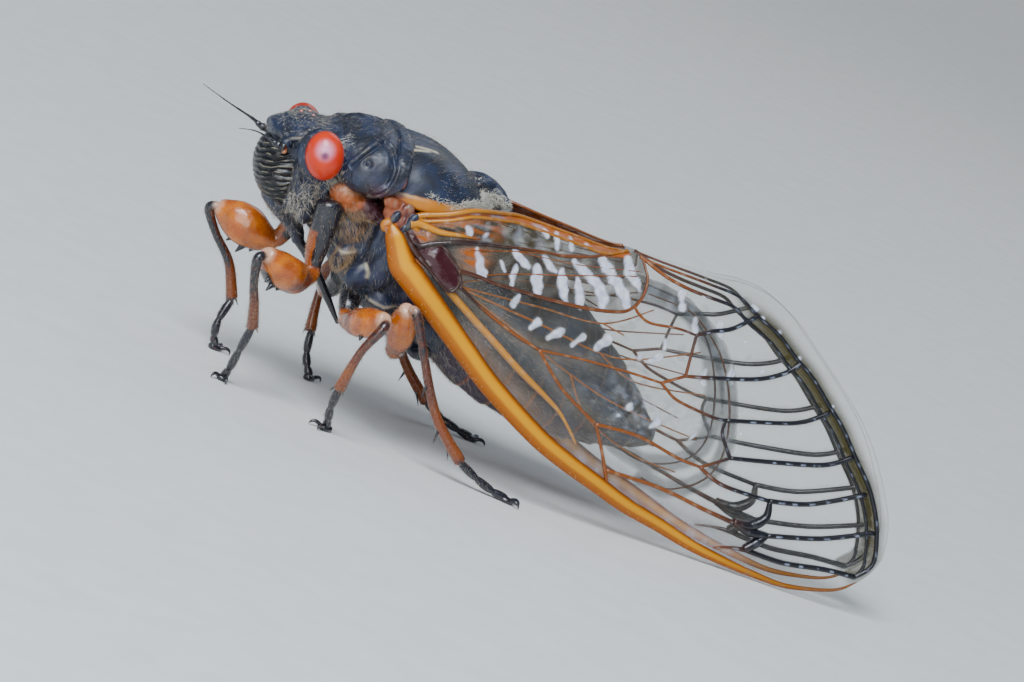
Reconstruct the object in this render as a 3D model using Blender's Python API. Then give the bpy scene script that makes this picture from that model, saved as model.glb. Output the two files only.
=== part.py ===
# Periodical cicada at rest with its wings folded, life size.
# Sizes are millimetres and MM turns them into metres. While the parts are shaped, the frame's zero
# lies midway between the eyes, with the tail at +X, the left side at -Y and +Z up.
import bpy
import bmesh
import math
from mathutils import Vector
from mathutils.geometry import delaunay_2d_cdt

for item in list(bpy.data.objects):
    bpy.data.objects.remove(item, do_unlink=True)

# Driving sizes
MM = 0.001
GAP = 0.3
FLOOR = -14.3
HEAD_WIDTH = 9.9
EYE_HEIGHT = 2.84
EYE_LENGTH = 2.24
BODY_SIDES = 20
LIMB_SIDES = 8
SEGMENTS = 8
FACE_RIDGES = 9
WING_THICK = 0.5
VEIN_HEIGHT = 0.2
VEIN_HALF = 0.34
COSTA_HEIGHT = 0.3
COSTA_HALF = 0.6
HIND_INSET = 0.88

BLACK = ("cuticle_black", (0.012, 0.014, 0.022), 0.35)
FACE = ("face_black", (0.010, 0.010, 0.012), 0.4)
RED = ("eye_red", (0.75, 0.07, 0.02), 0.15)
ORANGE = ("leg_orange", (0.55, 0.14, 0.02), 0.3)
BROWN = ("shin_brown", (0.16, 0.05, 0.02), 0.35)
DARK = ("foot_black", (0.02, 0.015, 0.015), 0.4)
WING = ("wing_membrane", (0.75, 0.38, 0.06), 0.25)
made = []


# Small numbers
def between(rows, x):
    """Row values at x, straight between the rows."""
    if x <= rows[0][0]:
        return list(rows[0][1:])
    for first, second in zip(rows, rows[1:]):
        if x <= second[0]:
            part = (x - first[0]) / (second[0] - first[0])
            return [a + (b - a) * part for a, b in zip(first[1:], second[1:])]
    return list(rows[-1][1:])


def curve(points, steps):
    """Points of a smooth curve through the given tuples, with steps to each span."""
    last = len(points) - 1
    result = []
    for i in range(last):
        a, b, c, d = points[max(i - 1, 0)], points[i], points[i + 1], points[min(i + 2, last)]
        for k in range(steps):
            t = k / steps
            result.append(tuple(
                0.5 * (2 * q + (r - p) * t + (2 * p - 5 * q + 4 * r - s) * t * t
                       + (3 * q - p - 3 * r + s) * t ** 3)
                for p, q, r, s in zip(a, b, c, d)))
    result.append(tuple(points[-1]))
    return result


def signed_power(value, power):
    return math.copysign(abs(value) ** power, value)


# Meshes
def closed_loft(rings):
    """Vertices and faces of a skin over rings of equal count, closed by a fan at each end."""
    count = len(rings[0])
    verts = [Vector(p) for ring in rings for p in ring]
    faces = []
    for i in range(len(rings) - 1):
        for k in range(count):
            a = i * count + k
            b = i * count + (k + 1) % count
            faces.append((a, b, b + count))
            faces.append((a, b + count, a + count))
    for ring, start in ((rings[0], 0), (rings[-1], (len(rings) - 1) * count)):
        centre = len(verts)
        verts.append(sum((Vector(p) for p in ring), Vector()) / count)
        for k in range(count):
            faces.append((centre, start + k, start + (k + 1) % count))
    return verts, faces


def body_ring(x, top, bottom, half, middle, sweep=0.0, power=2.3):
    """A rounded section across the body at x. Below its middle it leans forward by sweep."""
    ring = []
    for k in range(BODY_SIDES):
        angle = 2 * math.pi * k / BODY_SIDES
        c = signed_power(math.cos(angle), 2 / power)
        s = signed_power(math.sin(angle), 2 / power)
        reach = top - middle if s > 0 else middle - bottom
        ring.append((x + sweep * min(0.0, reach * s), half * c, middle + reach * s))
    return ring


def limb(path, sizes, side=(0, 1, 0), sides=LIMB_SIDES, steps=3, lowest=None):
    """A tapered rod along a path. sizes holds (half height, half width) at each path point."""
    rows = curve([tuple(p) + tuple(s) for p, s in zip(path, sizes)], steps)
    points = [Vector(row[:3]) for row in rows]
    rings = []
    for i, row in enumerate(rows):
        along = (points[min(i + 1, len(points) - 1)] - points[max(i - 1, 0)]).normalized()
        across = (Vector(side) - along * along.dot(Vector(side))).normalized()
        up = along.cross(across)
        ring = []
        for k in range(sides):
            angle = 2 * math.pi * (k + 0.5) / sides
            p = points[i] + up * (row[3] * math.sin(angle)) + across * (row[4] * math.cos(angle))
            if lowest is not None:
                p.z = max(p.z, lowest)
            ring.append(p)
        rings.append(ring)
    return closed_loft(rings)


def ball(centre, axes, sides=14, rows=9):
    """An ellipsoid on three half axes."""
    rings = []
    for i in range(1, rows):
        polar = math.pi * i / rows
        rings.append([
            Vector(centre) + Vector(axes[0]) * math.cos(polar)
            + Vector(axes[1]) * (math.sin(polar) * math.cos(2 * math.pi * k / sides))
            + Vector(axes[2]) * (math.sin(polar) * math.sin(2 * math.pi * k / sides))
            for k in range(sides)])
    verts, faces = closed_loft(rings)
    verts[-2] = Vector(centre) + Vector(axes[0])
    verts[-1] = Vector(centre) - Vector(axes[0])
    return verts, faces


def mirrored(shape):
    verts, faces = shape
    return [Vector((v.x, -v.y, v.z)) for v in verts], faces


# Objects
def raw_object(name, shape):
    verts, faces = shape
    mesh = bpy.data.meshes.new(name)
    mesh.from_pydata([Vector(v) * MM for v in verts], [], faces)
    bm = bmesh.new()
    bm.from_mesh(mesh)
    bmesh.ops.recalc_face_normals(bm, faces=bm.faces)
    if bm.calc_volume(signed=True) < 0:
        bmesh.ops.reverse_faces(bm, faces=bm.faces)
    bm.to_mesh(mesh)
    bm.free()
    result = bpy.data.objects.new(name, mesh)
    bpy.context.scene.collection.objects.link(result)
    return result


def apply_boolean(target, operation, others):
    """Joins or cuts the target with a collection of closed meshes, which are then removed."""
    group = bpy.data.collections.new(target.name + "_tools")
    bpy.context.scene.collection.children.link(group)
    for other in others:
        bpy.context.scene.collection.objects.unlink(other)
        group.objects.link(other)
        other.hide_render = True
        other.display_type = "WIRE"
    step = target.modifiers.new(operation.lower(), "BOOLEAN")
    step.operation = operation
    step.operand_type = "COLLECTION"
    step.collection = group
    step.solver = "EXACT"
    bpy.context.view_layer.update()
    shaped = target.evaluated_get(bpy.context.evaluated_depsgraph_get())
    mesh = bpy.data.meshes.new_from_object(shaped)
    target.modifiers.clear()
    target.data = mesh
    for other in others:
        bpy.data.objects.remove(other, do_unlink=True)
    bpy.data.collections.remove(group)


def keep_largest(target):
    """Leaves one closed surface, the one with the most volume, in triangles."""
    bm = bmesh.new()
    bm.from_mesh(target.data)
    bmesh.ops.triangulate(bm, faces=bm.faces)
    waiting = set(bm.faces)
    islands = []
    while waiting:
        island = {waiting.pop()}
        edge_of_search = set(island)
        while edge_of_search:
            face = edge_of_search.pop()
            for edge in face.edges:
                for other in edge.link_faces:
                    if other in waiting:
                        waiting.discard(other)
                        island.add(other)
                        edge_of_search.add(other)
        islands.append(island)

    def volume(island):
        return abs(sum(
            f.verts[0].co.dot(f.verts[1].co.cross(f.verts[2].co)) for f in island))

    islands.sort(key=volume)
    spare = [face for island in islands[:-1] for face in island]
    bmesh.ops.delete(bm, geom=spare, context="FACES")
    bm.to_mesh(target.data)
    bm.free()


def material(look):
    name, colour, roughness = look
    found = bpy.data.materials.get(name)
    if found:
        return found
    found = bpy.data.materials.new(name)
    found.use_nodes = True
    shader = found.node_tree.nodes["Principled BSDF"]
    shader.inputs["Base Color"].default_value = (*colour, 1)
    shader.inputs["Roughness"].default_value = roughness
    shader.inputs["Metallic"].default_value = 0.0
    return found


def node(name, look, shapes, cuts=()):
    """One finished sub-part: its shapes joined to one body, less the cuts."""
    target = raw_object(name, shapes[0])
    joined = [raw_object(name + "_piece", shape) for shape in shapes[1:]]
    if joined:
        apply_boolean(target, "UNION", joined)
    removed = [raw_object(name + "_cut", shape) for shape in cuts]
    if removed:
        apply_boolean(target, "DIFFERENCE", removed)
    keep_largest(target)
    target.data.materials.clear()
    target.data.materials.append(material(look))
    made.append(target)
    return target


# Eyes
EYE_LEAN = math.radians(20)
EYE_REACH = 1.15


def eye(side, extra=0.0):
    lean = Vector((-math.sin(EYE_LEAN), 0, math.cos(EYE_LEAN)))
    across = Vector((math.cos(EYE_LEAN), 0, math.sin(EYE_LEAN)))
    centre = (0, side * (HEAD_WIDTH / 2 - EYE_REACH), 0)
    return ball(centre, (
        lean * (EYE_HEIGHT / 2 + extra), across * (EYE_LENGTH / 2 + extra),
        Vector((0, EYE_REACH + extra, 0))), sides=16, rows=10)


# Face: the swollen, ridged shield below the brow, lofted down the face from ring to ring
FACE_START = Vector((-1.75, 0, 0.23))
FACE_DOWN = Vector((0.386, 0, -0.923))
FACE_OUT = Vector((-0.923, 0, -0.386))
FACE_ROWS = [
    (0.35, 1.00, 1.20),
    (0.80, 1.50, 1.55),
    (1.60, 1.90, 1.88),
    (2.60, 2.00, 1.92),
    (3.40, 1.80, 1.70),
    (4.10, 1.40, 1.30),
    (4.75, 0.80, 0.70)]
RIDGE = 0.07


def face_shield(extra=0.0, ridges=True):
    rings = []
    start, end = FACE_ROWS[0][0], FACE_ROWS[-1][0]
    count = 2 * FACE_RIDGES + 1 if ridges else 9
    for i in range(count + 1):
        down = start + (end - start) * i / count
        half, out = between(FACE_ROWS, down)
        swell = extra
        if ridges:
            swell += RIDGE if i % 2 else -RIDGE
        place = down
        if extra:
            place += extra * (2 * i / count - 1)
        ring = []
        for k in range(11):
            angle = math.pi * k / 10
            wide = (half + swell) * math.cos(angle)
            deep = (out + swell) * math.sin(angle) ** 0.8
            ring.append(FACE_START + FACE_DOWN * place + FACE_OUT * deep + Vector((0, wide, 0)))
        back = FACE_START + FACE_DOWN * place - FACE_OUT * (0.25 + extra)
        ring.append(back + Vector((0, -0.7 * half, 0)))
        ring.append(back + Vector((0, 0.7 * half, 0)))
        rings.append(ring)
    return closed_loft(rings)


# Head: x, top, bottom, half width, height of the widest place
HEAD_ROWS = [
    (-2.85, 0.55, -0.35, 1.00, 0.1),
    (-2.40, 1.05, -0.80, 1.75, 0.0),
    (-1.70, 1.50, -2.20, 2.50, -0.1),
    (-0.90, 1.72, -3.60, 3.00, -0.3),
    (-0.10, 1.88, -4.40, 3.25, -0.5),
    (0.85, 2.02, -4.60, 3.30, -0.6)]
OCELLI = [(-1.35, 0.0, 1.52), (-0.75, 0.62, 1.66), (-0.75, -0.62, 1.66)]
OCELLUS = 0.24


def build_head():
    rings = [body_ring(*row) for row in curve(HEAD_ROWS, 2)]
    chin = limb(
        [(-1.0, 0, -3.5), (0.0, 0, -4.25), (1.05, 0, -5.0)],
        [(0.8, 1.15), (0.7, 1.0), (0.45, 0.55)], steps=2)
    shapes = [closed_loft(rings), chin]
    for place in OCELLI:
        shapes.append(ball(place, ((0, 0, OCELLUS), (OCELLUS, 0, 0), (0, OCELLUS, 0)), 8, 6))
    node("head", BLACK, shapes, [face_shield(GAP, False), eye(-1, GAP), eye(1, GAP)])
    node("face_shield", FACE, [face_shield()])
    node("eye_left", RED, [eye(-1)])
    node("eye_right", RED, [eye(1)])


BEAK = [(1.35, 0, -5.5), (2.4, 0, -6.25), (3.5, 0, -7.15), (4.7, 0, -8.3), (5.8, 0, -9.4)]
BEAK_SIZES = [(0.4, 0.45), (0.38, 0.42), (0.32, 0.36), (0.28, 0.3), (0.15, 0.16)]
FEELER_LEFT = [(-2.4, -2.35, -0.75), (-2.95, -2.4, -0.5), (-3.9, -2.35, -0.4), (-4.9, -2.3, -0.75)]
FEELER_RIGHT = [(-2.4, 2.35, -0.75), (-3.3, 2.4, -0.45), (-5.0, 2.35, -0.1), (-6.8, 2.2, 0.35)]
FEELER_SIZES = [(0.27, 0.27), (0.25, 0.25), (0.2, 0.2), (0.1, 0.1)]


def build_mouth_and_feelers():
    node("rostrum", DARK, [limb(BEAK, BEAK_SIZES, steps=2)])
    node("antenna_left", DARK, [limb(FEELER_LEFT, FEELER_SIZES, sides=6)])
    node("antenna_right", DARK, [limb(FEELER_RIGHT, FEELER_SIZES, sides=6)])


# Pronotum: x, top, bottom, half width, height of the widest place, sweep
PRONOTUM_ROWS = [
    (1.15, 2.05, -1.00, 3.40, 0.1, 0.0),
    (1.80, 2.25, -1.30, 4.00, 0.1, 0.1),
    (2.50, 2.48, -1.50, 4.35, 0.1, 0.25),
    (3.30, 2.62, -1.50, 4.55, 0.1, 0.45),
    (3.80, 2.58, -1.45, 4.58, 0.1, 0.55),
    (4.05, 2.72, -1.45, 4.95, 0.2, 0.62),
    (4.80, 2.74, -1.40, 5.00, 0.2, 0.78)]
# Side lobe of the pronotum: centre, then half height, half length and how far it stands out
LOBE = ((2.75, 3.95, 0.35), 1.3, 1.15, 0.72)
# Mesonotum: x, top, half width, sweep
MESONOTUM_ROWS = [
    (5.10, 2.68, 4.30, 0.78),
    (6.00, 2.72, 4.50, 0.5),
    (7.00, 2.62, 4.50, 0.2),
    (8.10, 2.30, 4.35, 0.0),
    (9.20, 1.80, 3.95, 0.0),
    (10.20, 1.25, 2.80, 0.0),
    (11.00, 0.90, 1.70, 0.0)]
MESONOTUM_BASE = -0.75
CROSS_ARMS = [(9.75, 1.25, 1.35), (9.75, -1.25, 1.35), (11.95, 0.95, 0.95), (11.95, -0.95, 0.95)]
CROSS_MIDDLE = (10.85, 0, 1.62)


def side_bulge(place, high, long, out):
    """An upright swelling on the left side of the body, and the same on the right."""
    left = ball((place[0], -place[1], place[2]), ((0, 0, high), (long, 0, 0), (0, out, 0)), 10, 8)
    return [left, mirrored(left)]


def build_back():
    node("pronotum", BLACK,
         [closed_loft([body_ring(*row) for row in curve(PRONOTUM_ROWS, 2)])] + side_bulge(*LOBE),
         [eye(-1, GAP), eye(1, GAP)])
    rings = []
    for x, top, half, sweep in curve(MESONOTUM_ROWS, 2):
        front = x + sweep * MESONOTUM_BASE
        ring = []
        for k in range(13):
            angle = math.pi * k / 12
            rise = math.sin(angle) ** 0.85
            z = MESONOTUM_BASE + (top - MESONOTUM_BASE) * rise
            ring.append((x + sweep * min(0.0, z), half * math.cos(angle), z))
        ring.append((front, -0.4 * half, MESONOTUM_BASE))
        ring.append((front, 0.4 * half, MESONOTUM_BASE))
        rings.append(ring)
    shapes = [closed_loft(rings)]
    for arm in CROSS_ARMS:
        shapes.append(limb([CROSS_MIDDLE, arm], [(0.42, 0.5), (0.34, 0.4)], side=(0, 1, 0.01), steps=2))
    shapes.append(ball((10.7, 0, 0.85), ((0, 0, 0.85), (1.3, 0, 0), (0, 0.9, 0)), 10, 7))
    node("mesonotum", BLACK, shapes)


# Sides and underside of the thorax: x, top, bottom, half width, height of the widest place
PROTHORAX_ROWS = [
    (1.60, -1.85, -4.60, 2.60, -2.9),
    (3.00, -1.80, -5.50, 2.75, -3.2),
    (4.55, -1.75, -6.60, 2.90, -3.4)]
THORAX_ROWS = [
    (4.90, -1.10, -6.90, 4.05, -3.0),
    (6.20, -1.10, -7.70, 4.25, -3.4),
    (7.80, -1.10, -8.40, 4.25, -3.9),
    (9.40, -1.10, -8.90, 4.10, -4.3),
    (11.20, -1.10, -9.10, 3.95, -4.7)]
# Swollen plates on the sides of the thorax, and the two lids below the first segment of the abdomen
SIDE_PLATES = [((6.0, 3.65, -4.3), 1.9, 0.95, 0.8), ((8.3, 3.65, -4.9), 2.1, 1.0, 0.75)]
LIDS = ((10.35, 1.7, -8.75), 0.6, 0.8, 1.35)
# Abdomen: x, top, bottom, half width
ABDOMEN_ROWS = [
    (11.50, -0.90, -9.20, 3.75),
    (13.00, -1.00, -9.90, 4.05),
    (15.00, -1.40, -10.50, 4.10),
    (17.00, -2.00, -10.80, 3.95),
    (19.00, -2.90, -10.90, 3.70),
    (21.00, -4.10, -10.75, 3.25),
    (23.00, -5.50, -10.40, 2.60),
    (24.80, -7.00, -9.90, 1.80),
    (26.20, -8.30, -9.30, 0.60)]
SEGMENT_STEP = 0.11


def abdomen_ring(x, swell):
    top, bottom, half = between(ABDOMEN_ROWS, x)
    middle = 0.5 * (top + bottom)
    return body_ring(x, top + swell, bottom - swell, half + swell, middle, power=2.15)


def build_underside():
    node("prothorax", BLACK, [closed_loft([body_ring(*row) for row in curve(PROTHORAX_ROWS, 2)])])
    shapes = [closed_loft([body_ring(*row) for row in curve(THORAX_ROWS, 2)])]
    for plate in SIDE_PLATES + [LIDS]:
        shapes += side_bulge(*plate)
    node("thorax", BLACK, shapes)
    rings = []
    start, end = ABDOMEN_ROWS[0][0], ABDOMEN_ROWS[-1][0]
    edges = [start + (end - start) * (i / SEGMENTS) ** 0.92 for i in range(SEGMENTS + 1)]
    for front, back in zip(edges, edges[1:]):
        rings.append(abdomen_ring(front, -SEGMENT_STEP if front > start else 0.0))
        rings.append(abdomen_ring(front + 0.5 * (back - front), 0.0))
        rings.append(abdomen_ring(back - 0.12, SEGMENT_STEP if back < end else -SEGMENT_STEP))
    rings.append(abdomen_ring(end, -0.3))
    node("abdomen", BLACK, [closed_loft(rings)])


# Legs
FEMUR_SIZES = [(0.5, 0.5), (1.0, 0.85), (1.25, 1.0), (1.1, 0.9), (0.5, 0.5)]
THIGH_SIZES = [(0.5, 0.5), (0.8, 0.7), (0.85, 0.75), (0.5, 0.5)]
SHIN_SIZES = [(0.34, 0.34), (0.3, 0.28), (0.32, 0.3), (0.36, 0.34)]
FOOT_SIZES = [(0.26, 0.26), (0.25, 0.25), (0.27, 0.27), (0.25, 0.3)]
PAD_SIZES = [(0.24, 0.3), (0.26, 0.42), (0.2, 0.34)]
CLAW_SIZES = [(0.2, 0.17), (0.17, 0.15), (0.07, 0.07)]
LEGS = {
    "fore_left": {
        "hip": [(1.75, -3.35, -2.9), (1.85, -3.3, -4.6), (2.0, -3.3, -6.2), (2.25, -3.45, -6.75)],
        "thigh": [(2.3, -3.5, -6.8), (1.25, -4.4, -7.0), (0.35, -5.15, -6.9), (-0.5, -5.75, -6.55),
                  (-1.2, -6.25, -6.1)],
        "spines": [((0.0, -5.5, -7.4), (-0.49, -6.0, -8.1)), ((-0.35, -5.7, -7.0), (-0.8, -6.2, -7.65))],
        "spurs": [],
        "shin": [(-1.95, -6.8, -6.45), (-1.4, -6.45, -7.9), (-0.75, -5.85, -9.1), (-0.15, -5.15, -10.3)],
        "foot": [(-0.1, -4.95, -10.85), (-0.1, -4.5, -12.2), (-0.05, -3.9, -13.5), (-0.1, -3.6, -14.05)],
        "toe": (-0.3, -0.6)},
    "fore_right": {
        "hip": [(1.75, 3.35, -2.9), (1.7, 3.3, -4.6), (1.5, 3.3, -6.2), (1.2, 3.3, -6.8)],
        "thigh": [(1.15, 3.3, -6.85), (0.35, 3.6, -6.85), (-0.5, 3.9, -6.7), (-1.4, 4.2, -6.5),
                  (-2.15, 4.45, -6.3)],
        "spines": [((-0.2, 3.8, -7.5), (-0.63, 3.8, -8.35)), ((-0.8, 4.0, -7.3), (-1.35, 4.05, -7.95))],
        "spurs": [],
        "shin": [(-2.85, 4.8, -6.7), (-1.9, 4.75, -7.9), (-0.5, 4.7, -9.2), (0.45, 4.5, -10.9)],
        "foot": [(0.53, 4.4, -11.45), (0.2, 4.1, -12.5), (0.35, 4.1, -13.5), (0.7, 4.3, -14.05)],
        "toe": (0.7, 0.3)},
    "mid_left": {
        "hip": [(5.3, -1.9, -7.3), (5.3, -2.6, -8.1), (5.2, -3.3, -8.5)],
        "thigh": [(5.2, -3.5, -8.5), (5.5, -4.8, -8.1), (5.85, -6.2, -7.55), (6.15, -7.35, -7.0)],
        "spines": [],
        "spurs": [],
        "shin": [(6.1, -8.15, -7.35), (5.55, -8.1, -8.9), (5.4, -7.9, -10.3), (5.4, -7.6, -11.3)],
        "foot": [(5.4, -7.45, -11.85), (5.5, -7.15, -12.8), (5.75, -6.8, -13.6), (5.9, -6.5, -14.05)],
        "toe": (-0.7, -0.3)},
    "mid_right": {
        "hip": [(5.3, 1.9, -7.3), (5.3, 2.6, -8.1), (5.2, 3.3, -8.5)],
        "thigh": [(5.2, 3.5, -8.5), (5.5, 4.7, -8.1), (5.85, 5.9, -7.6), (6.15, 6.9, -7.1)],
        "spines": [],
        "spurs": [],
        "shin": [(6.2, 7.65, -7.45), (6.0, 7.6, -8.9), (6.1, 7.3, -10.3), (6.3, 7.0, -11.4)],
        "foot": [(6.4, 6.9, -11.95), (6.6, 6.7, -12.9), (6.9, 6.4, -13.6), (7.2, 6.2, -14.05)],
        "toe": (0.4, 0.6)},
    "hind_left": {
        "hip": [(8.9, -2.2, -8.8), (8.8, -2.8, -9.2), (8.5, -3.5, -9.0)],
        "thigh": [(8.45, -3.7, -8.9), (8.2, -4.7, -8.1), (7.8, -5.6, -7.0), (7.5, -6.25, -6.2)],
        "spines": [],
        "spurs": [((10.1, -7.2, -9.2), (10.15, -7.6, -10.3)), ((11.9, -7.1, -11.5), (11.9, -7.5, -12.6)),
                  ((12.6, -7.1, -12.0), (13.4, -6.5, -13.4))],
        "shin": [(7.9, -7.15, -6.0), (8.7, -7.25, -7.2), (11.3, -7.15, -10.9), (13.7, -7.0, -12.9)],
        "foot": [(14.2, -7.0, -13.2), (15.2, -7.0, -13.6), (16.4, -7.0, -13.95), (17.3, -7.0, -14.05)],
        "toe": (0.9, -0.25)},
    "hind_right": {
        "hip": [(8.9, 2.2, -8.8), (8.8, 2.8, -9.2), (8.7, 3.5, -9.0)],
        "thigh": [(8.7, 3.7, -8.9), (8.6, 4.7, -8.1), (8.5, 5.6, -7.1), (8.4, 6.25, -6.4)],
        "spines": [],
        "spurs": [((11.0, 7.2, -9.3), (11.05, 7.6, -10.4)), ((12.8, 7.1, -11.6), (12.8, 7.5, -12.7)),
                  ((13.5, 7.1, -12.1), (14.2, 6.5, -13.5))],
        "shin": [(8.8, 7.1, -6.2), (9.6, 7.2, -7.4), (12.2, 7.1, -11.0), (14.5, 7.0, -12.95)],
        "foot": [(15.0, 7.0, -13.25), (16.0, 7.0, -13.65), (17.2, 7.0, -13.95), (18.1, 7.0, -14.05)],
        "toe": (0.9, 0.25)}}


def spike(root, tip, root_size=0.3):
    return limb([root, tip], [(root_size, root_size), (0.06, 0.06)], side=(1, 0, 0), sides=6, steps=1)


def build_leg(name, leg):
    fore = name.startswith("fore")
    hip_sizes = [(0.7, 0.75), (0.65, 0.7), (0.5, 0.5), (0.45, 0.45)][-len(leg["hip"]):]
    shapes = [
        limb(leg["thigh"], FEMUR_SIZES if fore else THIGH_SIZES, side=(1, 1, 0)),
        limb(leg["hip"], hip_sizes, side=(1, 0, 0), steps=2)]
    shapes += [spike(*ends) for ends in leg["spines"]]
    node("femur_" + name, ORANGE, shapes)
    shin = limb(leg["shin"], SHIN_SIZES, side=(0, 1, 0))
    node("tibia_" + name, BROWN, [shin] + [spike(*ends, root_size=0.2) for ends in leg["spurs"]])
    end = Vector(leg["foot"][-1])
    ahead = Vector((leg["toe"][0], leg["toe"][1], 0)).normalized()
    beside = Vector((-ahead.y, ahead.x, 0))
    low = Vector((0, 0, FLOOR + 0.14))
    flat = Vector((end.x, end.y, 0)) + low
    pad = limb([flat - ahead * 0.3, flat + ahead * 0.1, flat + ahead * 0.45], PAD_SIZES,
               side=beside, sides=8, steps=1, lowest=FLOOR)
    shapes = [limb(leg["foot"], FOOT_SIZES, side=(0, 1, 0), sides=6, steps=2, lowest=FLOOR), pad]
    for turn in (-1, 1):
        root = flat + ahead * 0.2 + beside * (0.12 * turn)
        bend = flat + ahead * 0.62 + beside * (0.34 * turn) + Vector((0, 0, 0.1))
        tip = flat + ahead * 0.92 + beside * (0.46 * turn) - Vector((0, 0, 0.05))
        shapes.append(limb([root, bend, tip], CLAW_SIZES, side=beside, sides=5, steps=1, lowest=FLOOR))
    node("tarsus_" + name, DARK, shapes)


# Wings. A point of a wing is given by its x and z, and fold() says how far out to the side it lies.
# x, height of the top edge, side distance there, side distance far below, height of the curve's bend
FOLD_ROWS = [
    (5, -1.6, 4.75, 5.3, 3.0),
    (7, -0.8, 4.75, 5.9, 3.0),
    (9, 0.3, 4.80, 6.2, 3.0),
    (10, 0.5, 4.05, 6.2, 3.0),
    (11, 0.6, 3.00, 6.3, 3.0),
    (12, 0.7, 2.15, 6.3, 3.0),
    (14, 0.8, 1.60, 6.3, 3.2),
    (17, 0.8, 1.20, 6.1, 3.5),
    (20, 1.1, 0.50, 5.7, 4.0),
    (24, 1.5, 0.45, 4.7, 4.5),
    (28, 1.9, 0.45, 3.4, 5.2),
    (32, 0.7, 0.50, 2.5, 6.5),
    (36, -2.0, 0.55, 1.8, 6.5),
    (40, -6.0, 0.65, 1.5, 6.5),
    (44, -11.0, 0.80, 1.4, 6.5)]
FORE_OUTLINE = [
    (5.1, -2.0), (5.0, -2.6), (5.2, -3.4), (5.8, -4.4), (6.8, -5.0), (8.7, -6.1), (11.4, -7.6),
    (13.9, -9.1), (17.5, -10.7), (22.4, -12.3), (27.4, -13.7), (30.3, -14.10), (32.5, -14.1),
    (35.1, -14.1), (37.2, -14.1), (39.3, -13.5), (40.6, -13.0), (41.5, -12.3), (42.2, -11.2),
    (42.4, -10.4), (42.2, -9.2), (41.7, -7.9), (39.8, -5.4), (37.4, -3.1), (34.2, -0.8),
    (31.1, 1.1), (29.2, 1.8), (27.3, 1.9), (24.9, 1.5), (22.8, 1.2), (19.8, 1.1), (15.2, 0.9),
    (12.2, 0.9), (11.0, 0.75), (9.9, 0.6), (8.6, 0.1), (7.0, -0.75), (5.8, -1.5)]
COSTA = [(5.6, -3.0), (6.6, -4.2), (9.2, -5.5), (12.2, -7.3), (16.2, -9.5), (20.1, -11.1),
         (24.6, -12.5), (28.9, -13.5), (32.9, -13.7)]
FORE_VEINS = [
    [(6.0, -2.5), (6.8, -2.4), (8.0, -1.9), (10.3, -1.1), (13.1, -0.7), (17.3, 0.0), (19.4, 0.9)],
    [(6.0, -2.5), (7.8, -3.4), (9.5, -4.1), (11.5, -4.4), (14.0, -5.2), (15.9, -5.6)],
    [(8.1, -2.0), (9.5, -3.1), (12.0, -3.0), (16.2, -2.7), (20.2, -2.1), (21.2, -1.3), (21.5, -0.6),
     (21.1, 0.6)],
    [(9.5, -3.1), (9.5, -4.1)],
    [(20.7, -1.9), (22.3, -2.1), (25.6, -1.9)],
    [(25.6, -1.9), (27.9, -0.9), (29.2, 0.1)],
    [(25.6, -1.9), (25.7, -4.3)],
    [(25.7, -4.3), (30.4, -3.2), (32.8, -1.7)],
    [(25.7, -4.3), (24.2, -5.0), (18.6, -5.2), (15.9, -5.6)],
    [(24.2, -5.0), (25.8, -5.7), (29.4, -5.9)],
    [(29.4, -5.9), (33.0, -5.0), (35.5, -3.8)],
    [(29.4, -5.9), (29.5, -6.7), (30.6, -7.9)],
    [(30.6, -7.9), (33.9, -7.3), (37.9, -5.6)],
    [(30.6, -7.9), (28.8, -8.9)],
    [(15.9, -5.6), (18.3, -7.2), (21.0, -8.5)],
    [(21.0, -8.5), (24.0, -8.4), (28.8, -8.9)],
    [(21.0, -8.5), (22.2, -9.9), (23.0, -10.8), (23.3, -11.6)],
    [(23.0, -10.8), (26.7, -10.8), (32.7, -11.5)],
    [(28.8, -8.9), (30.7, -9.5), (34.0, -9.5)],
    [(34.0, -9.5), (36.7, -8.8), (39.6, -7.4)],
    [(34.0, -9.5), (34.3, -10.7), (32.7, -11.5)],
    [(32.7, -11.5), (34.8, -11.5)],
    [(34.8, -11.5), (38.1, -10.6), (41.0, -9.2)],
    [(34.8, -11.5), (34.1, -12.7)],
    [(34.1, -12.7), (31.8, -13.2)],
    [(34.1, -12.7), (39.2, -12.2), (41.0, -11.9)],
    [(21.1, 0.6), (25.4, 0.9), (27.3, 1.0), (29.2, 0.1), (32.8, -1.7), (35.5, -3.8), (37.9, -5.6),
     (39.6, -7.4), (41.0, -9.2), (41.7, -10.6), (41.0, -11.9)]]
HIND_OUTLINE = [
    (9.9, -3.0), (9.7, -4.2), (10.2, -4.9), (12.0, -5.8), (14.5, -6.9), (17.6, -8.3), (19.6, -9.2),
    (21.2, -10.3), (23.3, -10.7), (25.8, -11.3), (27.6, -11.5), (29.2, -11.0), (30.4, -10.0),
    (30.9, -8.7), (30.9, -7.3), (30.3, -5.6), (29.7, -4.3), (28.7, -2.7), (27.6, -1.6), (26.3, -0.7),
    (24.6, -0.3), (21.9, 0.0), (18.5, -0.4), (15.0, -0.7), (12.5, -1.1), (11.0, -1.8)]
HIND_VEINS = [
    [(10.6, -4.3), (14.6, -6.2), (19.1, -8.3), (21.4, -9.6), (24.4, -10.3)],
    [(10.8, -3.8), (15.2, -3.2), (19.6, -2.8), (22.5, -1.2)],
    [(10.6, -4.3), (15.4, -4.1), (20.0, -4.5), (22.2, -4.1), (25.8, -2.7)]]
SPACING = 1.7


def fold(x, z):
    top, near, far, bend = between(FOLD_ROWS, x)
    drop = max(0.0, top - z)
    return near + (far - near) * (1 - math.exp(-drop / bend))


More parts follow.
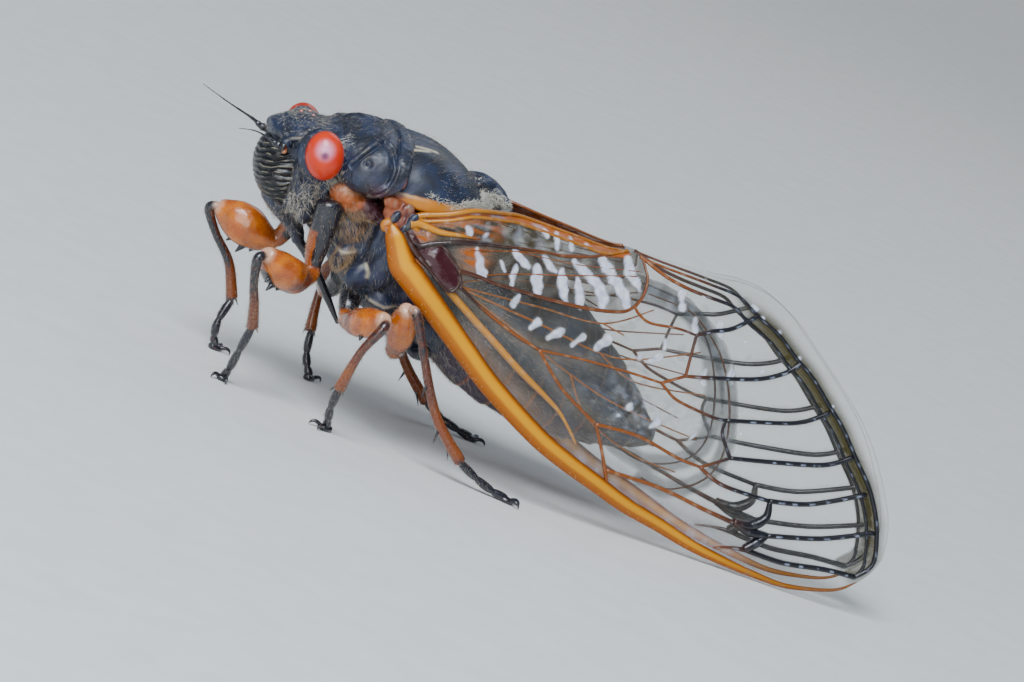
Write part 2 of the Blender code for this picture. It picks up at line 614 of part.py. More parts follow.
def wing_point(x, z, inward):
    """Place on the left wing, moved in from the fold surface along its normal."""
    step = 0.05
    slope_x = (fold(x + step, z) - fold(x - step, z)) / (2 * step)
    slope_z = (fold(x, z + step) - fold(x, z - step)) / (2 * step)
    normal = Vector((slope_x, 1, slope_z)).normalized()
    return Vector((x, -fold(x, z), z)) + normal * inward


def spaced(points, spacing, closed=False):
    """Points along a line, at even steps no longer than the spacing."""
    result = []
    rows = points + [points[0]] if closed else points
    for a, b in zip(rows, rows[1:]):
        a, b = Vector(a), Vector(b)
        count = max(1, math.ceil((b - a).length / spacing))
        result.extend(a.lerp(b, k / count) for k in range(count))
    if not closed:
        result.append(Vector(points[-1]))
    return result


def distance(p, a, b):
    along = b - a
    t = max(0.0, min(1.0, (p - a).dot(along) / along.length_squared))
    return (p - a - along * t).length


def line_distance(p, line):
    return min(distance(p, a, b) for a, b in zip(line, line[1:]))


def inside(p, outline):
    hit = False
    for a, b in zip(outline, outline[1:] + outline[:1]):
        if (a.y > p.y) != (b.y > p.y) and p.x < a.x + (b.x - a.x) * (p.y - a.y) / (b.y - a.y):
            hit = not hit
    return hit


def wing(outline, veins, inset):
    """A curved plate with the same triangles on both faces and its veins raised on the outer face.
    veins is a list of (points, half width, height)."""
    edge = spaced(outline, SPACING, True)
    rim = edge + edge[:1]
    lines = [(spaced(points, SPACING), half, high) for points, half, high in veins]
    points = list(edge)
    bonds = [(k, (k + 1) % len(edge)) for k in range(len(edge))]
    known = {}
    for line, half, high in lines:
        last = None
        for p in line:
            key = (round(p.x, 3), round(p.y, 3))
            if key not in known:
                known[key] = len(points)
                points.append(p)
            if last is not None:
                bonds.append((last, known[key]))
            last = known[key]
    sides = []
    for line, half, high in lines:
        for i, p in enumerate(line):
            along = (line[min(i + 1, len(line) - 1)] - line[max(i - 1, 0)]).normalized()
            across = Vector((-along.y, along.x))
            for turn in (-half, half):
                q = p + across * turn
                near = min(line_distance(q, other) for other, _, _ in lines)
                if near < half - 0.06 or line_distance(q, rim) < 0.3 or not inside(q, edge):
                    continue
                if sides and min((q - other).length for other in sides) < 0.35:
                    continue
                sides.append(q)
    points += sides
    low_x, high_x = min(p.x for p in edge), max(p.x for p in edge)
    low_z, high_z = min(p.y for p in edge), max(p.y for p in edge)
    pitch = 1.6
    for i in range(int((high_x - low_x) / pitch) + 1):
        for k in range(int((high_z - low_z) / pitch) + 1):
            q = Vector((low_x + pitch * (i + 0.5 * (k % 2)), low_z + pitch * k))
            if not inside(q, edge) or line_distance(q, rim) < 0.7:
                continue
            if min(line_distance(q, other) for other, _, _ in lines) > 0.8:
                points.append(q)
    flat, _, faces, *_ = delaunay_2d_cdt(points, bonds, [], 1, 0.0001)
    verts = []
    for inner in (False, True):
        for p in flat:
            rise = 0.0
            if not inner:
                for line, half, high in lines:
                    rise = max(rise, high * (1 - line_distance(p, line) / half))
            shift = 0.5 * WING_THICK if inner else -0.5 * WING_THICK - rise
            verts.append(wing_point(p.x, p.y, inset + shift))
    count = len(flat)
    skin = [tuple(face) for face in faces]
    used = {}
    for face in skin:
        for a, b in zip(face, face[1:] + face[:1]):
            used[(a, b)] = True
    result = list(skin)
    result += [tuple(count + k for k in reversed(face)) for face in skin]
    for a, b in used:
        if (b, a) not in used:
            result.append((b, a, count + a))
            result.append((b, count + a, count + b))
    return verts, result


def build_wings():
    fore = wing(FORE_OUTLINE, [(COSTA, COSTA_HALF, COSTA_HEIGHT)] + [
        (points, VEIN_HALF, VEIN_HEIGHT) for points in FORE_VEINS], 0.0)
    hind = wing(HIND_OUTLINE, [(points, VEIN_HALF, 0.5 * VEIN_HEIGHT) for points in HIND_VEINS],
                HIND_INSET)
    node("forewing_left", WING, [fore])
    node("forewing_right", WING, [mirrored(fore)])
    node("hindwing_left", WING, [hind])
    node("hindwing_right", WING, [mirrored(hind)])


def set_on_origin():
    """Moves everything so that the feet stand on z = 0 and the box is centred over the origin."""
    bpy.context.view_layer.update()
    places = [v.co for item in made for v in item.data.vertices]
    centre_x = 0.5 * (min(p.x for p in places) + max(p.x for p in places))
    centre_y = 0.5 * (min(p.y for p in places) + max(p.y for p in places))
    shift = Vector((-centre_x, -centre_y, -min(p.z for p in places)))
    for item in made:
        for vertex in item.data.vertices:
            vertex.co += shift


build_head()
build_mouth_and_feelers()
build_back()
build_underside()
for leg_name, leg_sizes in LEGS.items():
    build_leg(leg_name, leg_sizes)
build_wings()
set_on_origin()
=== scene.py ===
# Periodical cicada: skins, hair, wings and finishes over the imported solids.
# Shapes are worked out in millimetres from the point midway between the eyes, with the tail
# at +X and the left side at -Y. settle() brings each finished piece to its place in the frame.
import math
import bpy
import numpy as np
from mathutils import Matrix, Vector


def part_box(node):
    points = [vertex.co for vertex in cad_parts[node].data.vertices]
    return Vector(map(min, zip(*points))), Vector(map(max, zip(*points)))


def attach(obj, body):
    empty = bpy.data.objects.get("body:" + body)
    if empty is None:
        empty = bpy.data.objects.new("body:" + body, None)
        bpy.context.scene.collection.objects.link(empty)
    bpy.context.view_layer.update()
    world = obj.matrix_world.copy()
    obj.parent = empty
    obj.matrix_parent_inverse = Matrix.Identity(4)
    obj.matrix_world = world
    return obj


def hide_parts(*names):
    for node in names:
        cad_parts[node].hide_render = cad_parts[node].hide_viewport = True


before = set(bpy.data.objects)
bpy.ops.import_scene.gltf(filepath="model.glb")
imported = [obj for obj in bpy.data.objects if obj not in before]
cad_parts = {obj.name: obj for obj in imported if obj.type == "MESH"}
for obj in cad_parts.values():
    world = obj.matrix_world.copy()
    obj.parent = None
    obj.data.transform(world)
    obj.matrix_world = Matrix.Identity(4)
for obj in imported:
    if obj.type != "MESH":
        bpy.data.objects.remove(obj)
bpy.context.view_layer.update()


# where things are
def boxMiddle(node):
    low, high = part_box(node)
    return (low + high) / 2


eyeMiddle = (boxMiddle("eye_left") + boxMiddle("eye_right")) / 2
toFrame = Matrix.Translation(eyeMiddle) @ Matrix.Scale(0.001, 4)


# materials are written as sums of sockets
class Wire:
    # a socket that can be written in sums
    def __init__(self, tree, socket):
        self.tree = tree
        self.socket = socket

    def node(self, kind, settings=None, sockets=None, out=0):
        made = self.tree.nodes.new(kind)
        for key, value in (settings or {}).items():
            setattr(made, key, value)
        for key, value in (sockets or {}).items():
            if isinstance(value, Wire):
                self.tree.links.new(value.socket, made.inputs[key])
            else:
                made.inputs[key].default_value = value
        return Wire(self.tree, made.outputs[out])

    def calc(self, operation, first, second):
        return self.node("ShaderNodeMath", {"operation": operation}, {0: first, 1: second})

    def __add__(self, other):
        return self.calc("ADD", self, other)

    def __radd__(self, other):
        return self.calc("ADD", other, self)

    def __sub__(self, other):
        return self.calc("SUBTRACT", self, other)

    def __rsub__(self, other):
        return self.calc("SUBTRACT", other, self)

    def __mul__(self, other):
        return self.calc("MULTIPLY", self, other)

    def __rmul__(self, other):
        return self.calc("MULTIPLY", other, self)

    def rise(self, low, high):
        # 0 below low, 1 above high, smooth between
        return self.node("ShaderNodeMapRange", {"interpolation_type": "SMOOTHSTEP"},
                         {"Value": self, "From Min": low, "From Max": high})

    def noise(self, scale, detail=3.0, rough=0.5):
        return self.node("ShaderNodeTexNoise", None,
                         {"Vector": self, "Scale": scale, "Detail": detail, "Roughness": rough})

    def dots(self, scale):
        return self.node("ShaderNodeTexVoronoi", None, {"Vector": self, "Scale": scale})

    def blend(self, first, second):
        # this wire picks between two colours
        return self.node("ShaderNodeMix", {"data_type": "RGBA"}, {
            0: self, 6: first if isinstance(first, Wire) else (*first, 1),
            7: second if isinstance(second, Wire) else (*second, 1)}, 2)

    def bump(self, distance, strength=1.0):
        return self.node("ShaderNodeBump", None,
                         {"Height": self, "Distance": distance, "Strength": strength})


class Finish:
    # a Principled material with its wires
    def __init__(self, name, fixed):
        self.material = bpy.data.materials.new(name)
        self.material.use_nodes = True
        tree = self.material.node_tree
        self.shader = tree.nodes["Principled BSDF"]
        self.tree = tree
        for socket, value in fixed.items():
            self.shader.inputs[socket].default_value = value
        place = tree.nodes.new("ShaderNodeTexCoord")
        world = Wire(tree, place.outputs["Object"])
        # the place in millimetres from the middle of the eyes
        self.place = world.node("ShaderNodeVectorMath", {"operation": "MULTIPLY_ADD"}, {
            0: world, 1: (1000, 1000, 1000), 2: tuple(-1000 * v for v in eyeMiddle)})

    def mark(self, name):
        # a value painted on the vertices
        made = self.tree.nodes.new("ShaderNodeAttribute")
        made.attribute_name = name
        return Wire(self.tree, made.outputs["Fac"])

    def wire(self, links):
        for socket, value in links.items():
            self.tree.links.new(value.socket, self.shader.inputs[socket])


# helpers for meshes, in millimetres
def only(*pieces):
    # selects these and nothing else
    for other in list(bpy.context.selected_objects):
        other.select_set(False)
    for piece in pieces:
        piece.select_set(True)
    if pieces:
        bpy.context.view_layer.objects.active = pieces[0]


def linked(made):
    bpy.context.scene.collection.objects.link(made)
    return made


def newPiece(name, verts, faces):
    mesh = bpy.data.meshes.new(name)
    mesh.from_pydata(verts, [], faces)
    return linked(bpy.data.objects.new(name, mesh))


def smoothLine(rows, steps=6):
    rows = np.array(rows, float)
    last = len(rows) - 1
    made = []
    for i in range(last):
        a, b, c, d = rows[max(i - 1, 0)], rows[i], rows[i + 1], rows[min(i + 2, last)]
        for t in np.arange(steps) / steps:
            made.append(0.5 * (2 * b + (c - a) * t + (2 * a - 5 * b + 4 * c - d) * t * t
                               + (3 * b - a - 3 * c + d) * t ** 3))
    made.append(rows[last])
    return np.array(made)


def unit(v):
    return v / np.maximum(np.linalg.norm(v, axis=-1, keepdims=True), 1e-9)


def loft(name, ringSets):
    # closed skins over rings, with the run along and the turn around kept on the vertices
    verts, faces, runs, turns = [], [], [], []
    for rings in ringSets:
        rings = np.asarray(rings, float)
        count, around = rings.shape[:2]
        base = len(verts)
        middle = rings.mean(1)
        run = np.concatenate([[0], np.cumsum(np.linalg.norm(np.diff(middle, axis=0), axis=1))])
        verts.extend(rings.reshape(-1, 3).tolist())
        verts.extend([middle[0].tolist(), middle[-1].tolist()])
        runs.extend(np.repeat(run, around).tolist() + [0.0, float(run[-1])])
        turns.extend(np.tile(np.arange(around) / around, count).tolist() + [0.0, 0.0])
        start = base + count * around
        for k in range(around):
            n = (k + 1) % around
            faces.append((start, base + n, base + k))
            end = base + (count - 1) * around
            faces.append((start + 1, end + k, end + n))
            for i in range(count - 1):
                a = base + i * around
                faces.append((a + k, a + n, a + around + n, a + around + k))
    made = newPiece(name, verts, faces)
    paint(made, "run", np.array(runs))
    paint(made, "turn", np.array(turns))
    facesOut(made)
    return made


def facesOut(piece):
    only(piece)
    bpy.ops.object.mode_set(mode="EDIT")
    bpy.ops.mesh.select_all(action="SELECT")
    bpy.ops.mesh.normals_make_consistent(inside=False)
    bpy.ops.object.mode_set(mode="OBJECT")


def capRows(row, out):
    # two ever smaller rings beyond the end of a path round it off, each as its distance and its size
    steps = ((0.42, 0.45), (0.28, 0.8))
    return [np.append(row[:3] + out * far * row[3:].mean(), row[3:] * size) for far, size in steps]


def sweep(path, around=12, side=(0, 1, 0), caps=True):
    # rings along a path whose rows are x, y, z, half height, half width
    path = np.array(path, float)
    if caps:
        start = capRows(path[0], unit(path[0, :3] - path[1, :3]))
        end = capRows(path[-1], unit(path[-1, :3] - path[-2, :3]))
        path = np.vstack(start + [path] + end[::-1])
    spots = path[:, :3]
    along = unit(np.gradient(spots, axis=0))
    side = np.array(side, float)
    across = unit(side - along * (along @ side)[:, None])
    up = np.cross(along, across)
    turn = 2 * np.pi * (np.arange(around) + 0.5) / around
    return (spots[:, None] + up[:, None] * (np.sin(turn)[None, :, None] * path[:, 3, None, None])
            + across[:, None] * (np.cos(turn)[None, :, None] * path[:, 4, None, None]))


def rod(points, sizes, around=12, side=(0, 1, 0), steps=6, caps=True):
    rows = [tuple(p) + (s if isinstance(s, tuple) else (s, s)) for p, s in zip(points, sizes)]
    return sweep(smoothLine(rows, steps), around, side, caps)


def ball(place, sizes, turn=(0, 0, 0), segments=28, rings=18):
    only()
    bpy.ops.mesh.primitive_uv_sphere_add(segments=segments, ring_count=rings, radius=1,
                                         location=place, rotation=turn, scale=sizes)
    made = bpy.context.active_object
    bpy.ops.object.transform_apply(location=True, rotation=True, scale=True)
    return made


def bothSides(place, sizes, turn=(0, 0, 0)):
    x, y, z = place
    a, b, c = turn
    return [ball((x, -y, z), sizes, (a, b, c)), ball((x, y, z), sizes, (-a, b, -c))]


def fuse(name, parts, voxel, rounds):
    # one closed skin from overlapping parts
    only(*parts)
    if len(parts) > 1:
        bpy.ops.object.join()
    made = bpy.context.active_object
    made.name = name
    remesh = made.modifiers.new("remesh", "REMESH")
    remesh.mode = "VOXEL"
    remesh.voxel_size = voxel
    smooth = made.modifiers.new("smooth", "SMOOTH")
    smooth.factor = 0.5
    smooth.iterations = rounds
    for step in list(made.modifiers):
        bpy.ops.object.modifier_apply(modifier=step.name)
    return made


def spots(piece):
    co = np.zeros(len(piece.data.vertices) * 3)
    piece.data.vertices.foreach_get("co", co)
    return co.reshape(-1, 3)


def outward(piece):
    piece.data.update()
    n = np.zeros(len(piece.data.vertices) * 3)
    piece.data.vertex_normals.foreach_get("vector", n)
    return n.reshape(-1, 3)


def push(piece, amount):
    # moves the skin along its normals
    co = spots(piece) + outward(piece) * amount[:, None]
    piece.data.vertices.foreach_set("co", co.ravel())
    piece.data.update()


def paint(piece, name, values):
    found = piece.data.attributes.get(name) or piece.data.attributes.new(name, "FLOAT", "POINT")
    found.data.foreach_set("value", np.asarray(values, np.float32))


def painted(piece, name):
    values = np.zeros(len(piece.data.vertices), np.float32)
    piece.data.attributes[name].data.foreach_get("value", values)
    return values


def lineGap(co, line):
    # distance of each point from a line of points
    line = np.array(line, float)
    best = np.full(len(co), 1e9)
    for a, b in zip(line[:-1], line[1:]):
        ab = b - a
        t = np.clip(((co - a) @ ab) / max(ab @ ab, 1e-9), 0, 1)
        best = np.minimum(best, np.linalg.norm(co - (a + t[:, None] * ab), axis=1))
    return best


def apart(co, place, sizes=1.0):
    # distance of each point from a place, counted in these sizes
    return np.linalg.norm((co - place) / sizes, axis=1)


def oneSide(co):
    # both sides of the body laid over each other
    return np.stack([co[:, 0], np.abs(co[:, 1]), co[:, 2]], 1)


def within(co, outline):
    # which points lie inside a closed outline
    hit = np.zeros(len(co), bool)
    outline = np.array(outline, float)
    for a, b in zip(outline, np.roll(outline, -1, axis=0)):
        crosses = (a[1] > co[:, 1]) != (b[1] > co[:, 1])
        at = a[0] + (b[0] - a[0]) * (co[:, 1] - a[1]) / (b[1] - a[1] + 1e-12)
        hit ^= crosses & (co[:, 0] < at)
    return hit


def bell(gap, width=1.0):
    # 1 at no gap, falling away over the width
    return np.exp(-(gap / width) ** 2)


def slope(value, low, high):
    # 0 below low, 1 above high, smooth between
    t = np.clip((value - low) / (high - low), 0, 1)
    return t * t * (3 - 2 * t)


def ripple(co, size, seed, waves=14):
    # soft uneven swell, mostly between -1 and 1
    rng = np.random.default_rng(seed)
    total = np.zeros(len(co))
    for _ in range(waves):
        direction = unit(rng.normal(size=co.shape[1]))
        total += np.sin(co @ direction * (2 * np.pi / (size * rng.uniform(0.7, 1.5))) + rng.uniform(0, 6.28))
    return total / math.sqrt(waves)


def mirrored(piece, name):
    made = linked(piece.copy())
    made.data = piece.data.copy()
    made.name = name
    made.data.transform(Matrix.Scale(-1, 4, (0, 1, 0)))
    made.data.flip_normals()
    return made


def settle(piece, name, finish, nodes=()):
    # brings a finished piece into the frame
    piece.data.transform(toFrame)
    piece.name = name
    piece.data.name = name
    piece.data.materials.clear()
    piece.data.materials.append(finish.material)
    only(piece)
    bpy.ops.object.shade_smooth_by_angle(angle=math.radians(180))
    for step in list(piece.modifiers):
        bpy.ops.object.modifier_apply(modifier=step.name)
    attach(piece, "root")
    if nodes:
        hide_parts(*nodes)
    return piece


# finishes
def makeShell(name, base, tint, rough, coat, grain):
    # dark cuticle with a bloom of fine pale specks and painted warm, plum, gold and pale places; the bloom
    # carries painted sheen and glints too, and some pale places are painted highlights
    look = Finish(name, {"Specular IOR Level": 0.5, "Coat Roughness": 0.32, "Coat Weight": coat})
    place = look.place
    cloud = place.noise(0.8, 4).rise(0.35, 0.65)
    fine = place.noise(12.0, 3, 0.6)
    speck = (1 - place.dots(8.5)).rise(0.87, 0.96) * place.noise(2.7, 2).rise(0.44, 0.58)
    dustAndSheen = look.mark("dustAndSheen")
    colour = cloud.blend(base, tint)
    # the pale bluish bloom is partly real dust and partly painted sheen
    colour = (dustAndSheen * fine.rise(0.45, 0.75) * 0.45).blend(colour, (0.15, 0.19, 0.29))
    colour = (look.mark("warm") * (0.8 + 0.2 * fine)).blend(colour, (0.40, 0.085, 0.003))
    colour = (look.mark("plum") * 0.85).blend(colour, (0.060, 0.008, 0.012))
    colour = look.mark("gold").blend(colour, (0.56, 0.19, 0.003))
    # pale places, some of them painted highlights
    colour = (look.mark("paleAndHighlight") * (0.6 + 0.4 * fine)).blend(colour, (0.66, 0.58, 0.40))
    colour = (speck * (0.45 + dustAndSheen)).rise(0.1, 1.0).blend(colour, (0.55, 0.57, 0.62))
    look.wire({"Base Color": colour,
               "Roughness": rough + 0.18 * fine.rise(0.3, 0.8) + 0.2 * dustAndSheen,
               "Normal": (fine * grain + speck * 0.5).bump(0.00002)})
    return look


shell = makeShell("cuticleBlueBlack", (0.004, 0.005, 0.012), (0.010, 0.019, 0.054), 0.38, 0.38, 0.8)
faceShell = makeShell("cuticleFace", (0.002, 0.002, 0.003), (0.004, 0.004, 0.006), 0.24, 0.12, 0.2)


def makeEye():
    look = Finish("eyeRed", {"Specular IOR Level": 0.25, "Coat Weight": 0.5, "Coat Roughness": 0.1,
                             "Coat IOR": 1.5, "Roughness": 0.35})
    place = look.place
    facets = place.dots(18.0)
    # painted shade: the eye is darker on its inner half, towards the head, so its rim reads darker
    colour = look.mark("rim").blend((0.66, 0.024, 0.000), (0.36, 0.005, 0.000))
    colour = (place.noise(1.0, 2).rise(0.35, 0.7) * 0.4).blend(colour, (0.74, 0.07, 0.003))
    # painted highlight: a broad pale pink patch on the front of the eye
    colour = (look.mark("glow") * 0.8).blend(colour, (0.95, 0.48, 0.72))
    # painted dark pseudopupil: a fixed dark spot inside the painted highlight
    colour = (look.mark("spot") * 0.85).blend(colour, (0.09, 0.010, 0.075))
    look.wire({"Base Color": colour, "Normal": facets.bump(0.000004)})
    return look


eyeRed = makeEye()


def makeOcellus():
    look = Finish("ocellusPink", {"Coat Weight": 1.0, "Coat Roughness": 0.08, "Roughness": 0.25})
    colour = look.place.noise(6.0, 2).rise(0.3, 0.7).blend((0.42, 0.07, 0.05), (0.60, 0.22, 0.18))
    look.wire({"Base Color": colour})
    return look


ocellusPink = makeOcellus()


def makeLeg():
    # glossy and orange, with painted brown, dark and pale places
    look = Finish("legOrange", {"Specular IOR Level": 0.5, "Coat Weight": 0.75, "Coat Roughness": 0.12})
    place = look.place
    cloud = place.noise(1.1, 3)
    fine = place.noise(9.0, 3, 0.6)
    colour = cloud.rise(0.35, 0.68).blend((0.46, 0.088, 0.001), (0.66, 0.175, 0.002))
    colour = look.mark("brown").blend(colour, (0.10, 0.020, 0.005))
    mottle = (look.mark("dark") + (fine - 0.5) * 0.5 * look.mark("brown")).rise(0.2, 0.75)
    colour = mottle.blend(colour, (0.010, 0.010, 0.016))
    colour = (look.mark("paleAndHighlight") * (0.6 + 0.4 * fine)).rise(0.2, 0.8).blend(colour, (0.66, 0.38, 0.25))
    speck = (1 - place.dots(6.0)).rise(0.9, 0.98) * place.noise(2.2, 2).rise(0.5, 0.65)
    colour = (speck * 0.5).blend(colour, (0.85, 0.78, 0.66))
    look.wire({"Base Color": colour, "Roughness": 0.22 + 0.25 * fine.rise(0.35, 0.75),
               "Normal": (fine * 0.8 + place.noise(2.6, 2) * 0.4).bump(0.00002)})
    return look


legOrange = makeLeg()


def makeVein():
    # ribbed tubes, brown, turning black; the side that faces out is lighter as a painted highlight, which
    # leaves the flanks darker as painted shade, and the pale dashes along their crest are painted glints
    look = Finish("wingVein", {"Specular IOR Level": 0.5, "Coat Weight": 0.35, "Coat Roughness": 0.15})
    place = look.place
    fine = place.noise(7.0, 3)
    run = look.mark("run")
    lit = look.mark("lit")
    dark = look.mark("dark")
    wave = run.node("ShaderNodeMath", {"operation": "SINE"}, {0: run * 6.3 + 5.0 * place.noise(0.8, 1)})
    ribsAndGlints = wave.rise(0.1, 0.9) * place.noise(1.6, 1).rise(0.40, 0.60)
    colour = fine.rise(0.3, 0.7).blend((0.085, 0.015, 0.002), (0.17, 0.036, 0.003))
    # painted highlight on the side of the tube that faces out
    colour = (lit * 0.75).blend(colour, (0.30, 0.078, 0.004))
    colour = look.mark("gold").blend(colour, lit.blend((0.36, 0.095, 0.001), (0.64, 0.25, 0.001)))
    colour = dark.blend(colour, (0.005, 0.005, 0.009))
    # painted glints: pale dashes along the crest
    colour = (ribsAndGlints * dark * look.mark("crestGlint")).blend(colour, (0.27, 0.31, 0.42))
    colour = ((1 - dark) * ribsAndGlints * lit * 0.25).blend(colour, (0.62, 0.42, 0.24))
    look.wire({"Base Color": colour, "Roughness": 0.24 + 0.2 * fine,
               "Normal": (ribsAndGlints + fine * 0.4).bump(0.00002)})
    return look


wingVein = makeVein()


def makeCosta():
    # the thick golden front edge, browner and specked towards its outer side, with a lighter band along its
    # middle that is a painted highlight
    look = Finish("costaGold", {"Specular IOR Level": 0.25, "Coat Weight": 0.18, "Coat Roughness": 0.15})
    place = look.place
    fine = place.noise(5.0, 3, 0.6)
    across = look.mark("across")
    outer = (across * -1 + (fine - 0.5) * 0.3).rise(0.1, 0.95)
    inner = (across + (fine - 0.5) * 0.15).rise(0.6, 0.97)
    # painted highlight: the middle of the band is lighter
    middle = (1 - (across - 0.2) * (across - 0.2) * 3.2).rise(0.1, 1.0)
    colour = middle.blend((0.46, 0.13, 0.000), (0.74, 0.32, 0.000))
    colour = (outer * 0.95).blend(colour, (0.35, 0.088, 0.000))
    colour = (inner * 0.9).blend(colour, (0.11, 0.020, 0.001))
    colour = look.mark("dark").blend(colour, (0.19, 0.050, 0.001))
    speck = (1 - place.dots(4.6)).rise(0.80, 0.9) * outer
    colour = (speck * 0.8).blend(colour, (0.80, 0.56, 0.22))
    look.wire({"Base Color": colour, "Roughness": 0.24 + 0.16 * fine + 0.12 * outer,
               "Normal": (fine * 0.6 + speck).bump(0.00003)})
    return look


costaGold = makeCosta()


def makeMembrane(name, clear, tint, duskTint):
    # clear and glossy; painted white glints on its wrinkles and a painted pale sheen stand in for reflected
    # light, beside painted dark and coloured places
    look = Finish(name, {"Specular IOR Level": 0.8, "Coat Weight": 1.0, "Coat Roughness": 0.05,
                         "Roughness": 0.16})
    place = look.place
    cloud = place.noise(0.55, 4)
    fine = place.noise(3.4, 3)
    mark = look.mark("mark")
    paleSheen = look.mark("paleSheen")
    amber = look.mark("amber")
    maroon = look.mark("maroon")
    dusk = look.mark("dusk")
    smoke = look.mark("smoke")
    facing = place.node("ShaderNodeLayerWeight", None, {"Blend": 0.35}, 1)
    colour = cloud.rise(0.35, 0.7).blend(tint, (0.50, 0.50, 0.46))
    colour = dusk.rise(0.0, 0.45).blend(colour, duskTint)
    colour = smoke.blend(colour, (0.044, 0.029, 0.014))
    colour = amber.blend(colour, (0.42, 0.095, 0.000))
    # painted sheen: pale bluish wisps where the membrane reflects the light
    colour = paleSheen.blend(colour, (0.52, 0.56, 0.66))
    # painted reflection: white glints on the wrinkles of the membrane
    glint = fine.rise(0.3, 0.7).blend((0.66, 0.70, 0.93), (0.88, 0.89, 0.96))
    colour = mark.blend(colour, glint)
    colour = maroon.blend(colour, (0.040, 0.0005, 0.004))
    alpha = clear + 0.03 * fine + 0.28 * facing * facing + 0.84 * mark
    alpha = alpha + 0.20 * paleSheen * cloud.rise(0.3, 0.6)
    for painting, strength in ((amber, 0.8), (maroon, 0.95), (dusk, 0.8), (smoke, 0.62)):
        alpha = alpha + strength * painting
    look.wire({
        "Base Color": colour,
        "Coat Weight": 1 - maroon,
        "Roughness": 0.16 + 0.1 * maroon,
        "Alpha": alpha.node("ShaderNodeClamp", None, {"Value": alpha}),
        "Normal": (cloud + fine * 0.35).bump(0.00010)})
    return look


membraneFore = makeMembrane("membraneFore", 0.05, (0.34, 0.31, 0.22), (0.060, 0.045, 0.004))
membraneHind = makeMembrane("membraneHind", 0.045, (0.32, 0.29, 0.20), (0.016, 0.020, 0.024))


def makeHair():
    look = Finish("hairPale", {"Specular IOR Level": 0.4, "Roughness": 0.45, "Sheen Weight": 0.3})
    fine = look.place.noise(5.0, 2)
    colour = fine.rise(0.3, 0.7).blend((0.26, 0.25, 0.22), (0.55, 0.52, 0.45))
    colour = look.mark("gold").blend(colour, (0.60, 0.30, 0.06))
    colour = look.mark("white").blend(colour, (0.90, 0.86, 0.72))
    colour = look.mark("dark").blend(colour, (0.03, 0.022, 0.018))
    look.wire({"Base Color": colour})
    return look


hairPale = makeHair()


# hair
def netOf(skin):
    # an unwrap of the skin with a margin: along and around a swept piece, else around its long axis
    co = spots(skin)
    if "run" in skin.data.attributes:
        run = painted(skin, "run")
        return np.stack([0.02 + 0.96 * run / max(run.max(), 1e-6), 0.02 + 0.96 * painted(skin, "turn")], 1)
    low, high = co.min(0), co.max(0)
    u = (co[:, 0] - low[0]) / (high[0] - low[0])
    v = np.arctan2(co[:, 1], co[:, 2] - 0.5 * (low[2] + high[2])) / (2 * np.pi) + 0.5
    return np.stack([0.02 + 0.96 * u, 0.02 + 0.96 * v], 1)


def hairRoots(skin, settings, rng):
    # random places on the skin, with the way it faces and its unwrap there
    count = settings["count"]
    mesh = skin.data
    mesh.calc_loop_triangles()
    tri = np.zeros(len(mesh.loop_triangles) * 3, np.int32)
    mesh.loop_triangles.foreach_get("vertices", tri)
    tri = tri.reshape(-1, 3)
    co, normal, net = spots(skin), outward(skin), netOf(skin)
    a, b, c = co[tri[:, 0]], co[tri[:, 1]], co[tri[:, 2]]
    weight = np.linalg.norm(np.cross(b - a, c - a), axis=1) * settings["where"](co)[tri].mean(1)
    pick = rng.choice(len(tri), count, p=weight / weight.sum())
    u, v = rng.random(count), rng.random(count)
    over = u + v > 1
    u, v = np.where(over, 1 - u, u), np.where(over, 1 - v, v)
    w = np.stack([1 - u - v, u, v], 1)[:, :, None]
    root = (co[tri[pick]] * w).sum(1)
    face = unit((normal[tri[pick]] * w).sum(1))
    return root, face, net[tri[pick, 0]]


